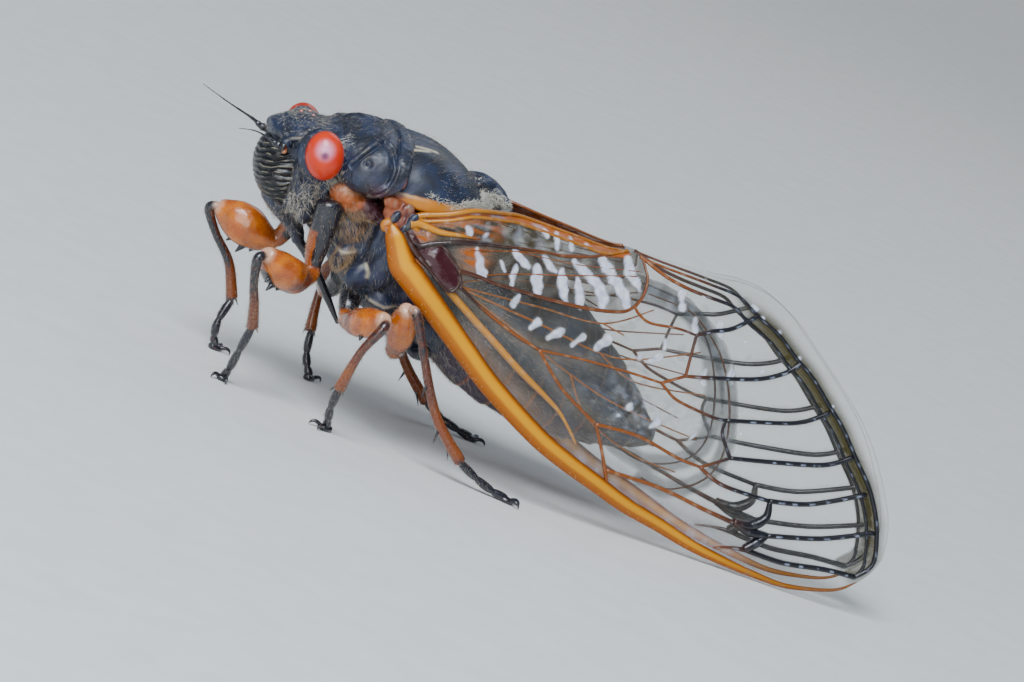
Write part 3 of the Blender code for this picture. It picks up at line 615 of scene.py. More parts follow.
def hairOn(skin, settings):
    # one tapered, bent spike for each hair
    count = settings["count"]
    rng = np.random.default_rng(settings["seed"])
    root, face, patch = hairRoots(skin, settings, rng)
    flow = np.array(settings["lie"]) + rng.normal(0, settings.get("stray", 0.3), (count, 3))
    flow = unit(flow - face * (flow * face).sum(1)[:, None])
    long = settings["length"] * rng.uniform(0.6, 1.35, count)
    wide = settings["width"] * rng.uniform(0.75, 1.25, count)
    lift, levels = settings["lift"], settings.get("levels", 2)
    sunk, bend, taper, apartInNet = 0.02, 0.35, 0.75, 0.0009
    first = unit(face * lift + flow * (1 - lift))
    e1 = unit(np.cross(first, face + 0.01))
    e2 = np.cross(first, e1)
    verts = []
    for k in range(levels):
        t = k / levels
        middle = root - face * sunk + first * (long * t)[:, None]
        middle += (flow - face * bend) * (long * bend * t * t)[:, None]
        size = wide * (1 - taper * t)
        for s in range(3):
            ang = 2 * math.pi * s / 3
            verts.append(middle + (e1 * math.cos(ang) + e2 * math.sin(ang)) * size[:, None])
    verts.append(root + first * long[:, None] + (flow - face * bend) * (long * bend)[:, None])
    verts = np.stack(verts, 1)
    per = verts.shape[1]
    one = []
    for k in range(levels - 1):
        for s in range(3):
            n = (s + 1) % 3
            one.append((3 * k + s, 3 * k + n, 3 * k + 3 + n, 3 * k + 3 + s))
    top = 3 * (levels - 1)
    tips = [(top + s, top + (s + 1) % 3, per - 1) for s in range(3)]
    base = (np.arange(count) * per)[:, None]
    faces = []
    for shape in one + tips + [(2, 1, 0)]:
        faces.extend((base + np.array(shape)).tolist())
    offsets = np.stack([apartInNet * (np.arange(per) // 3), apartInNet * (np.arange(per) % 3)], 1)
    uv = (patch[:, None] + offsets[None]).reshape(-1, 2)
    marks = {"white": np.full(count * per, settings.get("white", 0.0))}
    for key, spread in (("gold", 0.12), ("dark", 0.08)):
        value = np.clip(settings.get(key, 0.0) + rng.normal(0, spread, count), 0, 1)
        marks[key] = np.repeat(value, per)
    return verts.reshape(-1, 3), faces, uv, marks


def coat(name, jobs):
    # joins the hairs of several skins in one piece with its bake map
    verts, faces, uvs, marks = [], [], [], []
    total = 0
    for skin, settings in jobs:
        someVerts, someFaces, uv, mark = hairOn(skin, settings)
        verts.append(someVerts)
        faces.extend([tuple(i + total for i in face) for face in someFaces])
        uvs.append(uv)
        marks.append(mark)
        total += len(someVerts)
    made = newPiece(name, np.vstack(verts).tolist(), faces)
    layer = made.data.uv_layers.new(name="OFBake")
    corner = np.zeros(len(made.data.loops), np.int32)
    made.data.loops.foreach_get("vertex_index", corner)
    layer.data.foreach_set("uv", np.vstack(uvs)[corner].ravel())
    for key in ("gold", "dark", "white"):
        paint(made, key, np.concatenate([mark[key] for mark in marks]))
    facesOut(made)
    return settle(made, name, hairPale)


# which way hair lies
backwards = (1.0, 0.0, -0.25)
downBack = (0.5, 0.0, -0.8)
downwards = (0.1, 0.0, -1.0)


# skins of the body
def bodyRing(row, sides=96, power=2.3, under=None):
    x, top, bottom, half, middle = row[:5]
    lean = row[5] if len(row) > 5 else 0.0
    turn = 2 * np.pi * np.arange(sides) / sides
    bend = 2 / np.where(np.sin(turn) < 0, under or power, power)
    c = np.sign(np.cos(turn)) * np.abs(np.cos(turn)) ** bend
    s = np.sign(np.sin(turn)) * np.abs(np.sin(turn)) ** bend
    rise = np.where(s > 0, (top - middle) * s, (middle - bottom) * s)
    return np.stack([x + lean * np.minimum(0, rise), half * c, middle + rise], 1)


def bodyLoft(name, rows, steps=6, power=2.3, under=None):
    rings = [bodyRing(row, power=power, under=under) for row in smoothLine(rows, steps)]
    return loft(name, [np.array(rings)])


headSizes = {
    "crown": [(-2.8, 0.28, -0.35, 0.95, 0.1), (-2.4, 0.6, -0.6, 1.7, 0.1), (-1.75, 1.02, -0.75, 2.3, 0.2),
              (-1.2, 1.4, -0.85, 2.65, 0.3), (-0.5, 1.5, -0.95, 3.0, 0.3), (0.2, 1.5, -1.0, 3.1, 0.3),
              (1.25, 1.92, -1.1, 3.25, 0.3)],
    "core": [(-2.45, 0.66, -0.9, 1.0, 0.0), (-1.7, 1.05, -2.2, 1.65, -0.1), (-0.9, 1.3, -3.6, 2.1, -0.3),
             (-0.1, 1.42, -4.4, 2.8, -0.5), (1.25, 1.85, -4.6, 3.25, -0.6)],
    "chin": [(-1.0, 0, -3.5), (0.0, 0, -4.25), (1.15, 0, -5.1), (1.6, 0, -5.75)],
    "chinWide": [(0.8, 1.15), (0.7, 1.0), (0.45, 0.6), (0.36, 0.42)],
    "front": [((-1.62, 1.45, -0.12), (0.88, 0.75, 0.48), (0.2, 0.3, 0.35)),  # brow plates
              ((-1.95, 2.15, -0.4), (0.4, 0.34, 0.3), (0, 0, 0)),  # feeler ledges
              ((-1.9, 2.32, -0.86), (0.2, 0.2, 0.2), (0, 0, 0))],
    "sides": [((-0.15, 3.0, -0.15), (1.25, 0.85, 1.5), (0, -0.35, 0)),  # seats of the eyes
              ((-0.35, 2.2, -2.4), (0.38, 0.5, 1.6), (0, -0.32, 0)),  # cheek plates
              ((0.45, 2.5, -2.9), (0.55, 0.6, 1.5), (0, -0.25, 0))],
    "brow": [(-2.15, 1.95, -0.5), (-1.82, 2.35, -0.05), (-1.2, 2.72, 0.3)],
    "grooves": [[(-2.5, 0.0, 0.8), (-1.7, 0.0, 1.25), (-0.2, 0.0, 1.5), (1.0, 0, 1.85)],
                [(-2.2, 1.0, 0.85), (-1.3, 1.6, 1.15), (-0.4, 2.6, 1.05)]],
    "seams": [[(-1.9, 2.2, -0.9), (-1.0, 2.6, -2.0), (-0.2, 2.5, -3.4), (0.4, 1.6, -4.4)],
              [(-1.2, 2.9, -0.6), (-0.3, 3.1, -2.0), (0.5, 2.8, -3.6)]],
    "knob": (-1.92, 2.4, -0.88), "browHighlight": [(-2.1, 2.05, -0.42), (-1.8, 2.42, 0.02), (-1.2, 2.8, 0.38)],
    "voxel": 0.062, "smooth": 14}


def nearest(co, lines):
    return np.min([lineGap(co, line) for line in lines], axis=0)


def makeHead():
    s = headSizes
    parts = [bodyLoft("headCrown", s["crown"], power=2.0), bodyLoft("headCore", s["core"]),
             loft("chin", [rod(s["chin"], s["chinWide"], 24)])]
    for lump in s["front"]:
        parts += bothSides(*lump)
    for way in (-1, 1):
        parts.append(loft("brow", [rod([(x, y * way, z) for x, y, z in s["brow"]], (0.13, 0.15, 0.1), 12)]))
    for lump in s["sides"]:
        parts += bothSides(*lump)
    head = fuse("head", parts, s["voxel"], s["smooth"])
    co = spots(head)
    flat = oneSide(co)
    groove = nearest(flat, s["grooves"])
    seam = nearest(flat, s["seams"])
    crown = slope(co[:, 2], 0.0, 0.8)
    rough = ripple(co, 0.7, 11) * 0.016 + ripple(co, 0.32, 12) * (0.006 + 0.012 * crown)
    push(head, rough - 0.10 * bell(groove, 0.11) - 0.11 * bell(seam, 0.1))
    low = slope(-co[:, 2], 0.0, 1.2)
    # painted glints: the creases of the crown get more of the pale bloom, where the wrinkled cuticle catches
    # the light
    crease = slope(ripple(co, 0.45, 14), 0.5, 1.4) * crown
    dustAndSheen = 0.15 + 0.3 * low + 0.25 * ripple(co, 0.7, 13)
    paint(head, "dustAndSheen", np.clip(dustAndSheen + 0.5 * bell(groove, 0.25) + 0.6 * crease, 0, 1))
    knob = apart(flat, s["knob"])
    # painted highlight: a pale line along the brow ledge
    brow = lineGap(flat, s["browHighlight"])
    paint(head, "warm", slope(-knob, -0.32, -0.2) * 0.9)
    paint(head, "paleAndHighlight", np.clip(bell(knob, 0.12) * 0.5 + 0.5 * bell(brow, 0.08), 0, 1))
    return head


faceSizes = {
    "start": (-1.75, 0, 0.23),
    "down": (0.386, 0, -0.923),
    "out": (-0.923, 0, -0.386),
    "rows": [(0.3, 0.85, 1.05), (0.8, 1.5, 1.55), (1.6, 1.9, 1.88), (2.6, 2.0, 1.92), (3.4, 1.8, 1.7),
             (4.1, 1.4, 1.3), (4.8, 0.85, 0.8)],
    "ridges": 14.5, "height": 0.09, "around": 96}


def makeFace():
    # the swollen shield with its cross ridges
    s = faceSizes
    start, down, out = (np.array(s[k]) for k in ("start", "down", "out"))
    rows = smoothLine(s["rows"], 32)
    turn = np.linspace(-0.18, math.pi + 0.18, s["around"])
    rings, paleAndHighlight = [], []
    for row in rows:
        place, half, deep = row
        t = (place - rows[0, 0]) / (rows[-1, 0] - rows[0, 0])
        side = np.cos(turn)
        waver = 0.011 * np.sin(turn * 7 + t * 17) + 0.003 * np.sin(turn * 19 + t * 31)
        phase = s["ridges"] * (t + 0.035 * side ** 2 * (0.5 - t) * 2 + waver)
        wave = 0.5 - 0.5 * np.cos(2 * np.pi * phase)
        fade = slope(t, 0.02, 0.12) * slope(1 - t, 0.0, 0.1) * (0.35 + 0.65 * np.abs(side) ** 0.6)
        swell = s["height"] * (wave ** 0.7 - 0.5) * fade
        wide = (half + swell) * side
        depth = (deep + swell) * np.sign(np.sin(turn)) * np.abs(np.sin(turn)) ** 0.8
        ring = start + down * place + out * depth[:, None]
        ring[:, 1] += wide
        rings.append(ring)
        # pale lines on the ridge crests: partly rows of pale hair, partly painted glints
        paleAndHighlight.append(wave ** 20 * fade * slope(np.abs(side), 0.2, 0.6))
    shield = loft("faceShield", [np.array(rings)])
    values = np.concatenate([np.array(paleAndHighlight).ravel(), [0, 0]])
    co = spots(shield)
    broken = slope(ripple(co, 0.5, 21), -0.5, 0.6)
    paint(shield, "paleAndHighlight", 0.6 * values * broken)
    paint(shield, "dustAndSheen", 0.03 + 0.1 * slope(ripple(co, 0.9, 22), 0, 1))
    return shield


# glow is the middle of a painted highlight on the eye, spot that of a painted dark pseudopupil
eyeSizes = {"lean": math.radians(20), "half": (1.12, 1.15, 1.42), "out": 3.8,
            "spot": (-0.22, -0.95, 0.12), "spotSize": 0.31, "glow": (-0.28, -0.88, 0.36), "highlightSize": 0.72}


def makeEyes():
    s = eyeSizes
    eye = ball((0, -s["out"], 0), s["half"], (0, -s["lean"], 0), 64, 40)
    co = spots(eye) - (0, -s["out"], 0)
    facing = unit(co)
    spot = np.array(s["spot"]) / np.linalg.norm(s["spot"])
    gap = np.arccos(np.clip(facing @ spot, -1, 1))
    # the painted dark pseudopupil
    paint(eye, "spot", slope(-gap, -s["spotSize"], -0.25 * s["spotSize"]))
    glow = np.array(s["glow"]) / np.linalg.norm(s["glow"])
    # painted highlight: the glow patch, fixed on the front of the eye
    paint(eye, "glow", slope(-np.arccos(np.clip(facing @ glow, -1, 1)), -s["highlightSize"], 0))
    # painted shade: darker towards the head
    paint(eye, "rim", slope(co[:, 1], -0.35, 0.35))
    other = mirrored(eye, "eyeRight")
    settle(eye, "eye_left_lens", eyeRed, ["eye_left"])
    settle(other, "eye_right_lens", eyeRed, ["eye_right"])
    gems = [ball(p, (0.12, 0.12, 0.11), (0, 0, 0), 20, 12)
            for p in ((-1.35, 0.0, 1.33), (-0.75, 0.6, 1.43), (-0.75, -0.6, 1.43))]
    only(*gems)
    bpy.ops.object.join()
    settle(gems[0], "ocelli", ocellusPink)


feelerSizes = {
    "left": [(-2.0, -2.3, -0.62), (-2.5, -2.38, -0.62), (-2.95, -2.4, -0.5), (-3.9, -2.35, -0.38),
             (-4.9, -2.3, -0.62)],
    "right": [(-2.0, 2.3, -0.7), (-2.6, 2.38, -0.68), (-3.3, 2.4, -0.45), (-5.0, 2.35, -0.1),
              (-6.8, 2.2, 0.35)],
    "thick": (0.24, 0.2, 0.085, 0.04, 0.016),
    "joints": 22, "knobs": 0.22}


def makeFeelers():
    # thick foot, then a bristle of short joints
    s = feelerSizes
    for side in ("left", "right"):
        rows = smoothLine([p + (r, r) for p, r in zip(s[side], s["thick"])], 14)
        t = np.linspace(0, 1, len(rows))
        joints = 1 + s["knobs"] * np.abs(np.sin(t * s["joints"])) ** 8
        rows[:, 3:] *= joints[:, None]
        feeler = loft("feeler", [sweep(rows, 12)])
        run = painted(feeler, "run")
        paint(feeler, "dark", np.clip(1.2 - 1.2 * bell(run, 0.2), 0, 1))
        paint(feeler, "brown", np.ones(len(run)))
        settle(feeler, "feeler_" + side, legOrange, ["antenna_" + side])


beakSizes = {
    "line": [(0.9, 0, -5.0), (1.35, 0, -5.5), (2.4, 0, -6.25), (3.5, 0, -7.15), (4.7, 0, -8.3),
             (5.75, 0, -9.35)],
    "thick": [(0.36, 0.42), (0.33, 0.38), (0.29, 0.34), (0.25, 0.3), (0.22, 0.26), (0.12, 0.14)],
    "groove": 0.05}


def makeBeak():
    s = beakSizes
    rows = smoothLine([p + size for p, size in zip(s["line"], s["thick"])], 12)
    t = np.linspace(0, 1, len(rows))
    rows[:, 3:] *= (1 + 0.1 * bell(t - 0.42, 0.03) + 0.08 * bell(t - 0.78, 0.03))[:, None]
    beak = loft("beak", [sweep(rows, 28)])
    turn = painted(beak, "turn")
    push(beak, -s["groove"] * bell((turn - 0.25) * 12, 0.5))
    paint(beak, "dark", np.ones(len(turn)))
    paint(beak, "brown", np.ones(len(turn)))
    settle(beak, "beak", legOrange, ["rostrum"])
    return beak


backSizes = {
    "collarRows": [(0.95, 1.95, -0.95, 3.25, 0.1, 0.0), (1.8, 2.22, -1.3, 3.95, 0.1, 0.1),
                   (2.5, 2.45, -1.5, 4.3, 0.1, 0.25), (3.3, 2.6, -1.5, 4.52, 0.1, 0.45),
                   (3.8, 2.58, -1.45, 4.6, 0.1, 0.55), (4.1, 2.72, -1.45, 4.92, 0.2, 0.62),
                   (4.8, 2.74, -1.4, 5.0, 0.2, 0.78)],
    "lobe": [(1.71, 0.04), (1.95, 0.59), (2.24, 1.09), (2.66, 1.61), (3.07, 1.98), (3.44, 1.83), (3.69, 1.48),
             (3.88, 0.92), (3.9, 0.35), (3.8, -0.21), (3.62, -0.67), (3.3, -1.0)],
    "cuts": [[(0.93, 2.95, 1.22), (1.16, 2.55, 1.52), (1.41, 2.35, 1.76), (1.93, 1.62, 2.17), (2.9, 1.1, 2.4)],
             [(3.95, 0.0, 2.7), (3.93, 2.2, 2.5), (3.9, 3.6, 1.9), (3.88, 4.4, 1.1)],
             [(1.2, 0.75, 2.1), (2.2, 0.8, 2.4), (3.2, 0.35, 2.65)]],
    "pit": (2.39, 0.55),
    "voxel": 0.054, "smooth": 7}


def makePronotum():
    s = backSizes
    hump = ball((2.3, 0, 2.0), (1.3, 0.75, 0.62), (0, -0.15, 0))
    parts = [bodyLoft("collar", s["collarRows"], under=3.6), hump]
    back = fuse("pronotum", parts, s["voxel"], s["smooth"])
    co = spots(back)
    flat = oneSide(co)
    side = slope(flat[:, 1], 2.6, 3.4)
    view = flat[:, [0, 2]]
    edge = lineGap(view, s["lobe"]) + 9 * (side < 0.3)
    inner = within(view, s["lobe"] + [(2.6, -1.1), (2.0, -0.75)])
    pit = apart(view, s["pit"])
    move = side * (0.06 * slope(edge, 0, 0.4) * inner + 0.05 * bell(edge - 0.2, 0.1) * (1 - inner))
    move -= side * (0.25 * bell(pit, 0.21) - 0.26 * bell(pit, 0.1))
    gap = np.minimum(nearest(flat, s["cuts"]), edge)
    move -= 0.16 * bell(gap, 0.075)
    wrinkle = ripple(co * (1, 1, 1.6), 0.6, 31) * 0.012 + ripple(co, 0.25, 32) * 0.005
    push(back, move + wrinkle * (0.5 + 0.5 * slope(co[:, 2], -1, 2)) * (1 - 0.6 * side * inner))
    low = slope(-co[:, 2], -0.2, 1.0)
    crease = slope(ripple(co * (1, 1, 1.6), 0.5, 35), 0.6, 1.5)
    # painted highlight: a soft pale patch on the lower half of the lobe
    patch = bell(apart(view, (2.3, -0.35), (0.75, 0.45))) * side
    paint(back, "dustAndSheen", np.clip(0.08 + 0.4 * bell(gap, 0.22) + 0.45 * crease + 0.4 * patch, 0, 1))
    rear = np.maximum(0, 4.72 - co[:, 0] + 0.5 * np.minimum(0, co[:, 2]))
    paint(back, "warm", side * bell(rear, 0.07) * slope(-co[:, 2], -0.9, 0.3) * 0.9)
    broken = slope(ripple(co, 0.6, 34), 0.0, 1.0)
    # painted highlights: pale lines beside the grooves and along the rear rim
    paleAndHighlight = np.maximum(0.15 * side * bell(gap - 0.14, 0.04), 0.5 * bell(rear - 0.12, 0.05))
    paint(back, "paleAndHighlight", paleAndHighlight * broken)
    paint(back, "plum", low * slope(co[:, 0], 2.6, 3.4) * 0.8)
    return back


shieldSizes = {
    "rows": [(4.7, 2.62, 4.25, 0.6), (5.1, 2.68, 4.33, 0.6), (6.0, 2.72, 4.5, 0.4), (7.0, 2.62, 4.5, 0.2),
             (8.1, 2.3, 4.35, 0.0), (9.2, 1.8, 3.9, 0.0), (10.2, 1.25, 2.8, 0.0), (11.0, 0.9, 1.7, 0.0)],
    "base": -0.75,
    "cross": [([(10.85, 0, 1.55), (10.3, 0.7, 1.62), (9.7, 1.3, 1.42)], (0.36, 0.33, 0.28)),
              ([(10.85, 0, 1.55), (11.4, 0.5, 1.3), (12.0, 1.0, 0.85)], (0.36, 0.33, 0.24))],
    "streaks": [[(4.95, -2.6, 2.08), (5.67, -2.41, 2.22), (5.9, -2.3, 2.28)],
                [(5.18, -2.22, 2.26), (5.8, -2.15, 2.33), (6.45, -2.06, 2.36)]],
    "bandAt": (4.7, 5.5, 6.55, 7.82, 9.11, 10.3),
    "bandTop": (-0.2, -0.13, 0.05, 0.14, 0.43, 0.66),
    "voxel": 0.08, "smooth": 10}


def makeMesonotum():
    s = shieldSizes
    base = s["base"]
    rings = []
    turn = np.linspace(0, math.pi, 64)
    for x, top, half, lean in smoothLine(s["rows"], 6):
        z = base + (top - base) * np.sin(turn) ** 0.85
        arc = np.stack([x + lean * np.minimum(0, z), half * np.cos(turn), z], 1)
        across = np.linspace(-0.9, 0.9, 14) * half
        floor = np.stack([np.full(14, x + lean * base), across, np.full(14, base - 0.1)], 1)
        rings.append(np.vstack([arc, floor]))
    parts = [loft("meso", [np.array(rings)])]
    for way in (-1, 1):
        for line, thick in s["cross"]:
            parts.append(loft("arm", [rod([(x, way * y, z) for x, y, z in line], thick, 20)]))
    parts += [ball((10.7, 0, 0.85), (1.35, 0.95, 0.8))]
    back = fuse("mesonotum", parts, s["voxel"], s["smooth"])
    co = spots(back)
    flat = oneSide(co)
    gap = lineGap(flat, [(5.0, 1.0, 2.6), (6.2, 1.15, 2.62), (7.2, 0.75, 2.5)])
    rim = slope(-co[:, 2], -0.15, 0.5) * slope(12 - co[:, 0], 2, 4)
    move = ripple(co, 1.0, 41) * 0.008 + ripple(co, 0.3, 42) * 0.002
    push(back, move - 0.035 * bell(gap, 0.16) + 0.05 * rim)
    streak = nearest(co, s["streaks"])
    dustAndSheen = 0.05 + 0.9 * slope(co[:, 0], 9.3, 10.4)
    dustAndSheen += 0.5 * slope(-co[:, 2], -1.3, 0.2) * slope(co[:, 0], 5.5, 7.5)
    paint(back, "dustAndSheen", np.clip(dustAndSheen + 0.25 * bell(co[:, 0] - 5.0, 0.4), 0, 1))
    edge = np.interp(co[:, 0], s["bandAt"], s["bandTop"])
    band = slope(edge - co[:, 2] + 0.04 * ripple(co, 0.7, 43), -0.03, 0.06) * slope(10.2 - co[:, 0], 0, 0.8)
    # painted highlight: a pale line along the top edge of the golden band
    shine = bell(edge - co[:, 2] - 0.1, 0.09) * slope(-co[:, 0], -7.0, -5.2) * 0.5
    paleAndHighlight = 1.1 * bell(streak, 0.1) + 0.8 * band * slope(co[:, 0], 7.4, 8.8)
    paint(back, "paleAndHighlight", np.clip(paleAndHighlight + band * shine, 0, 1))
    mottle = slope(ripple(co, 0.6, 44), -0.8, 0.5)
    paint(back, "gold", band * slope(co[:, 0], 4.9, 5.4) * (0.75 + 0.25 * mottle))
    paint(back, "warm", band * (0.35 + 0.65 * slope(edge - co[:, 2], 0.2, 0.45)))
    return back


thoraxSizes = {
    "front": [(1.6, -1.85, -4.6, 2.6, -2.9), (3.0, -1.3, -5.5, 2.75, -3.2), (4.6, -1.0, -6.6, 3.0, -3.4),
              (5.2, -0.8, -6.95, 3.6, -3.2)],
    "rear": [(4.7, -1.0, -6.8, 3.85, -3.0), (6.2, -0.8, -7.7, 4.15, -3.4), (7.8, -0.8, -8.4, 4.2, -3.9),
             (9.4, -0.8, -8.9, 4.05, -4.3), (11.4, -0.8, -9.1, 3.85, -4.7)],
    "plates": [((2.35, 2.95, -1.85), (1.15, 0.72, 0.8), (0, 0.25, 0)),  # orange lobe below the collar
               ((3.85, 3.2, -2.0), (1.0, 0.62, 0.6), (0, 0.3, 0)),  # plum lobe behind it
               ((3.2, 3.0, -2.35), (0.8, 0.55, 0.5), (0, 0.3, 0)),
               ((3.4, 2.5, -3.4), (1.0, 0.7, 1.0), (0, 0, 0)),
               ((4.9, 3.15, -5.75), (0.72, 0.62, 0.98), (0, 0.3, 0)),  # bare shiny block
               ((3.7, 2.65, -5.2), (0.5, 0.45, 0.9), (0, 0.3, 0)),
               ((6.0, 3.65, -4.3), (0.95, 0.8, 1.9), (0, 0.15, 0)),
               ((8.3, 3.6, -4.9), (1.0, 0.75, 2.1), (0, 0.1, 0)),
               ((6.7, 3.3, -6.6), (0.9, 0.7, 0.7), (0, 0.3, 0)),
               ((9.6, 3.4, -7.0), (1.1, 0.7, 1.0), (0, 0.3, 0)),
               ((10.35, 1.7, -8.75), (0.8, 1.35, 0.6), (0, 0, 0)),  # lids under the abdomen
               ((5.4, 1.7, -7.0), (0.75, 0.8, 0.6), (0, 0, 0)),  # seats of the legs
               ((8.9, 2.0, -8.4), (0.85, 0.9, 0.6), (0, 0, 0)),
               ((2.0, 2.8, -3.1), (0.7, 0.7, 0.9), (0, 0, 0))],
    "seams": [[(4.3, 3.4, -4.4), (5.1, 3.8, -5.2), (5.5, 3.8, -6.3), (5.6, 3.3, -7.0)],
              [(7.1, 4.2, -2.6), (7.2, 4.3, -4.4), (7.4, 4.1, -6.3), (7.6, 3.5, -7.6)],
              [(3.1, 3.0, -2.6), (3.3, 3.4, -2.2), (3.1, 3.4, -1.4)]],
    "creamLines": [[(2.95, -4.72), (3.5, -4.95), (4.2, -4.62)], [(4.0, -7.0), (4.7, -7.25), (5.35, -7.05)],
                   [(6.0, -6.8), (6.8, -6.85), (7.4, -6.6)], [(4.9, -4.95), (5.15, -5.3), (5.2, -5.6)]],
    "voxel": 0.095, "smooth": 9}


def makeThorax():
    s = thoraxSizes
    parts = [bodyLoft("front", s["front"]), bodyLoft("rear", s["rear"])]
    for plate in s["plates"]:
        parts += bothSides(*plate)
    body = fuse("thorax", parts, s["voxel"], s["smooth"])
    co = spots(body)
    flat = oneSide(co)
    gap = nearest(flat, s["seams"])
    view = flat[:, [0, 2]]
    cream = nearest(view, s["creamLines"]) + 9 * (flat[:, 1] < 2.2)
    soft = slope(co[:, 2], -3.0, -2.2)
    move = ripple(co, 0.6, 51) * 0.016 + ripple(co, 0.4, 53) * 0.03 * soft
    push(body, move - 0.12 * bell(gap, 0.12) + 0.06 * bell(cream, 0.1))
    lobe = apart(flat, (2.35, 3.3, -1.8), (1.15, 1.0, 0.8))
    plum = apart(flat, (3.9, 3.5, -1.95), (1.1, 1.2, 0.8))
    hinge = slope(flat[:, 0], 4.3, 4.8) * slope(-flat[:, 0], -7.2, -5.6) * slope(flat[:, 2], -2.6, -1.6)
    paint(body, "warm", np.clip(slope(-lobe, -1.25, -0.8) + 0.7 * hinge, 0, 1))
    paint(body, "plum", np.clip(slope(-plum, -1.3, -0.8) * (1 - slope(-lobe, -1.1, -0.8)), 0, 1))
    paint(body, "dustAndSheen", np.clip(0.45 + 0.3 * ripple(co, 0.8, 52)
                                - bell(apart(flat, (4.9, 3.5, -5.75)), 0.8), 0, 1))
    # painted highlight: a pale patch on top of the orange lobe
    top = apart(view, (2.25, -1.35), (0.7, 0.3)) + 9 * (flat[:, 1] < 2.2)
    paint(body, "paleAndHighlight", np.maximum(0.8 * bell(cream, 0.085), 0.35 * bell(top, 0.9)))
    return body


abdomenSizes = {
    "rows": [(11.1, -0.85, -9.0, 3.6), (11.5, -0.9, -9.2, 3.75), (13.0, -1.0, -9.9, 4.05),
             (15.0, -1.4, -10.5, 4.1), (17.0, -2.0, -10.8, 3.95), (19.0, -2.9, -10.9, 3.7),
             (21.0, -4.1, -10.75, 3.25), (23.0, -5.5, -10.4, 2.6), (24.8, -7.0, -9.9, 1.8),
             (25.7, -7.9, -9.5, 1.1), (26.2, -8.35, -9.25, 0.45)],
    "segments": 8, "step": 0.13, "around": 128}


def makeAbdomen():
    s = abdomenSizes
    rings, tint = [], []
    for x, top, bottom, half in smoothLine(s["rows"], 18):
        part = np.clip((x - 11.5) / 14.7, 0, 1) ** (1 / 0.92) * s["segments"]
        frac = part % 1
        swell = s["step"] * (frac ** 1.6 - 0.5) - 0.1 * bell(min(frac, 1 - frac), 0.05)
        swell *= slope(x, 11.3, 11.8) * slope(26.3 - x, 0, 0.8)
        row = (x, top + swell, bottom - swell, half + swell, 0.5 * (top + bottom))
        rings.append(bodyRing(row, s["around"], 2.15))
        tint.append(np.full(s["around"], slope(frac, 0.84, 0.95)))
    body = loft("abdomen", [np.array(rings)])
    edge = np.concatenate([np.concatenate(tint), [0, 0]])
    co = spots(body)
    part = np.clip((co[:, 0] - 11.5) / 14.7, 0, 1)
    middle = np.interp(co[:, 0], [r[0] for r in s["rows"]], [0.5 * (r[1] + r[2]) for r in s["rows"]])
    under = slope(middle - co[:, 2], 0.5, 2.5)
    furrow = bell(np.abs(co[:, 1]) - 2.9 * (1 - part ** 2), 0.18)
    push(body, ripple(co, 0.5, 61) * 0.014 - 0.1 * furrow * under)
    paint(body, "warm", edge * (0.08 + 0.6 * under))
    paint(body, "plum", under * (1 - edge) * 0.35)
    dustAndSheen = 0.12 + 0.5 * slope(-co[:, 0], -14.5, -12)
    paint(body, "dustAndSheen", np.clip(dustAndSheen + 0.15 * ripple(co, 1.0, 62), 0, 1))
    return body


print("cicada: body skins")
head = makeHead()
shield = makeFace()
makeEyes()
makeFeelers()
beak = makeBeak()
pronotum = makePronotum()
mesonotum = makeMesonotum()
thorax = makeThorax()
abdomen = makeAbdomen()


# wings, as rows of x and z on a folded roof
foldRows = np.array([(5, -1.6, 4.75, 5.3, 3), (7, -0.8, 4.75, 5.9, 3), (9, 0.3, 4.8, 6.2, 3),
                     (10, 0.5, 4.05, 6.2, 3), (11, 0.6, 3, 6.3, 3), (12, 0.7, 2.15, 6.3, 3),
                     (14, 0.8, 1.6, 6.3, 3.2), (17, 0.8, 1.2, 6.1, 3.5), (20, 1.1, 0.5, 5.7, 4),
                     (24, 1.5, 0.45, 4.7, 4.5), (28, 1.9, 0.45, 3.4, 5.2), (32, 0.7, 0.5, 2.5, 6.5),
                     (36, -2, 0.55, 1.8, 6.5), (40, -6, 0.65, 1.5, 6.5), (44, -11, 0.8, 1.4, 6.5)])
foreLow = [(4.57, -2.26), (5.12, -3.18), (5.81, -4.38), (6.75, -5.02), (8.68, -6.09), (11.38, -7.64),
           (13.94, -9.07), (17.54, -10.7), (19.94, -11.49), (22.41, -12.15), (24.9, -12.8), (27.38, -13.25),
           (30.26, -13.78), (32.57, -14.0), (35.09, -14.1), (37.19, -14.04), (39.29, -13.55), (40.6, -13.02),
           (41.49, -12.23), (42.14, -11.27), (42.37, -10.44)]
foreHigh = [(4.57, -2.26), (5.37, -1.76), (6.42, -0.88), (7.73, -0.28), (8.95, 0.4), (9.93, 0.61),
            (11.45, 0.71), (12.31, 0.83), (13.76, 0.86), (15.18, 0.87), (16.59, 0.9), (18.52, 0.92),
            (19.83, 1.13), (22.74, 1.3), (24.84, 1.53), (25.93, 1.65), (27.13, 1.89), (28.99, 1.81),
            (30.95, 1.13), (32.43, 0.27), (34.16, -0.81), (35.91, -1.91), (37.49, -3.05), (38.86, -4.28),
            (39.83, -5.39), (40.89, -6.75), (41.67, -7.94), (42.19, -9.21), (42.37, -10.44)]
hindLow = [(9.5, -3.9), (9.8, -4.6), (11.57, -5.35), (13.48, -6.28), (15.57, -7.27), (17.57, -8.03),
           (19.01, -8.84), (20.68, -10.07), (22.81, -10.44), (23.98, -10.73), (25.68, -11.22), (27.42, -11.51),
           (29.12, -10.88), (30.23, -9.89), (30.77, -8.63), (30.81, -7.88)]
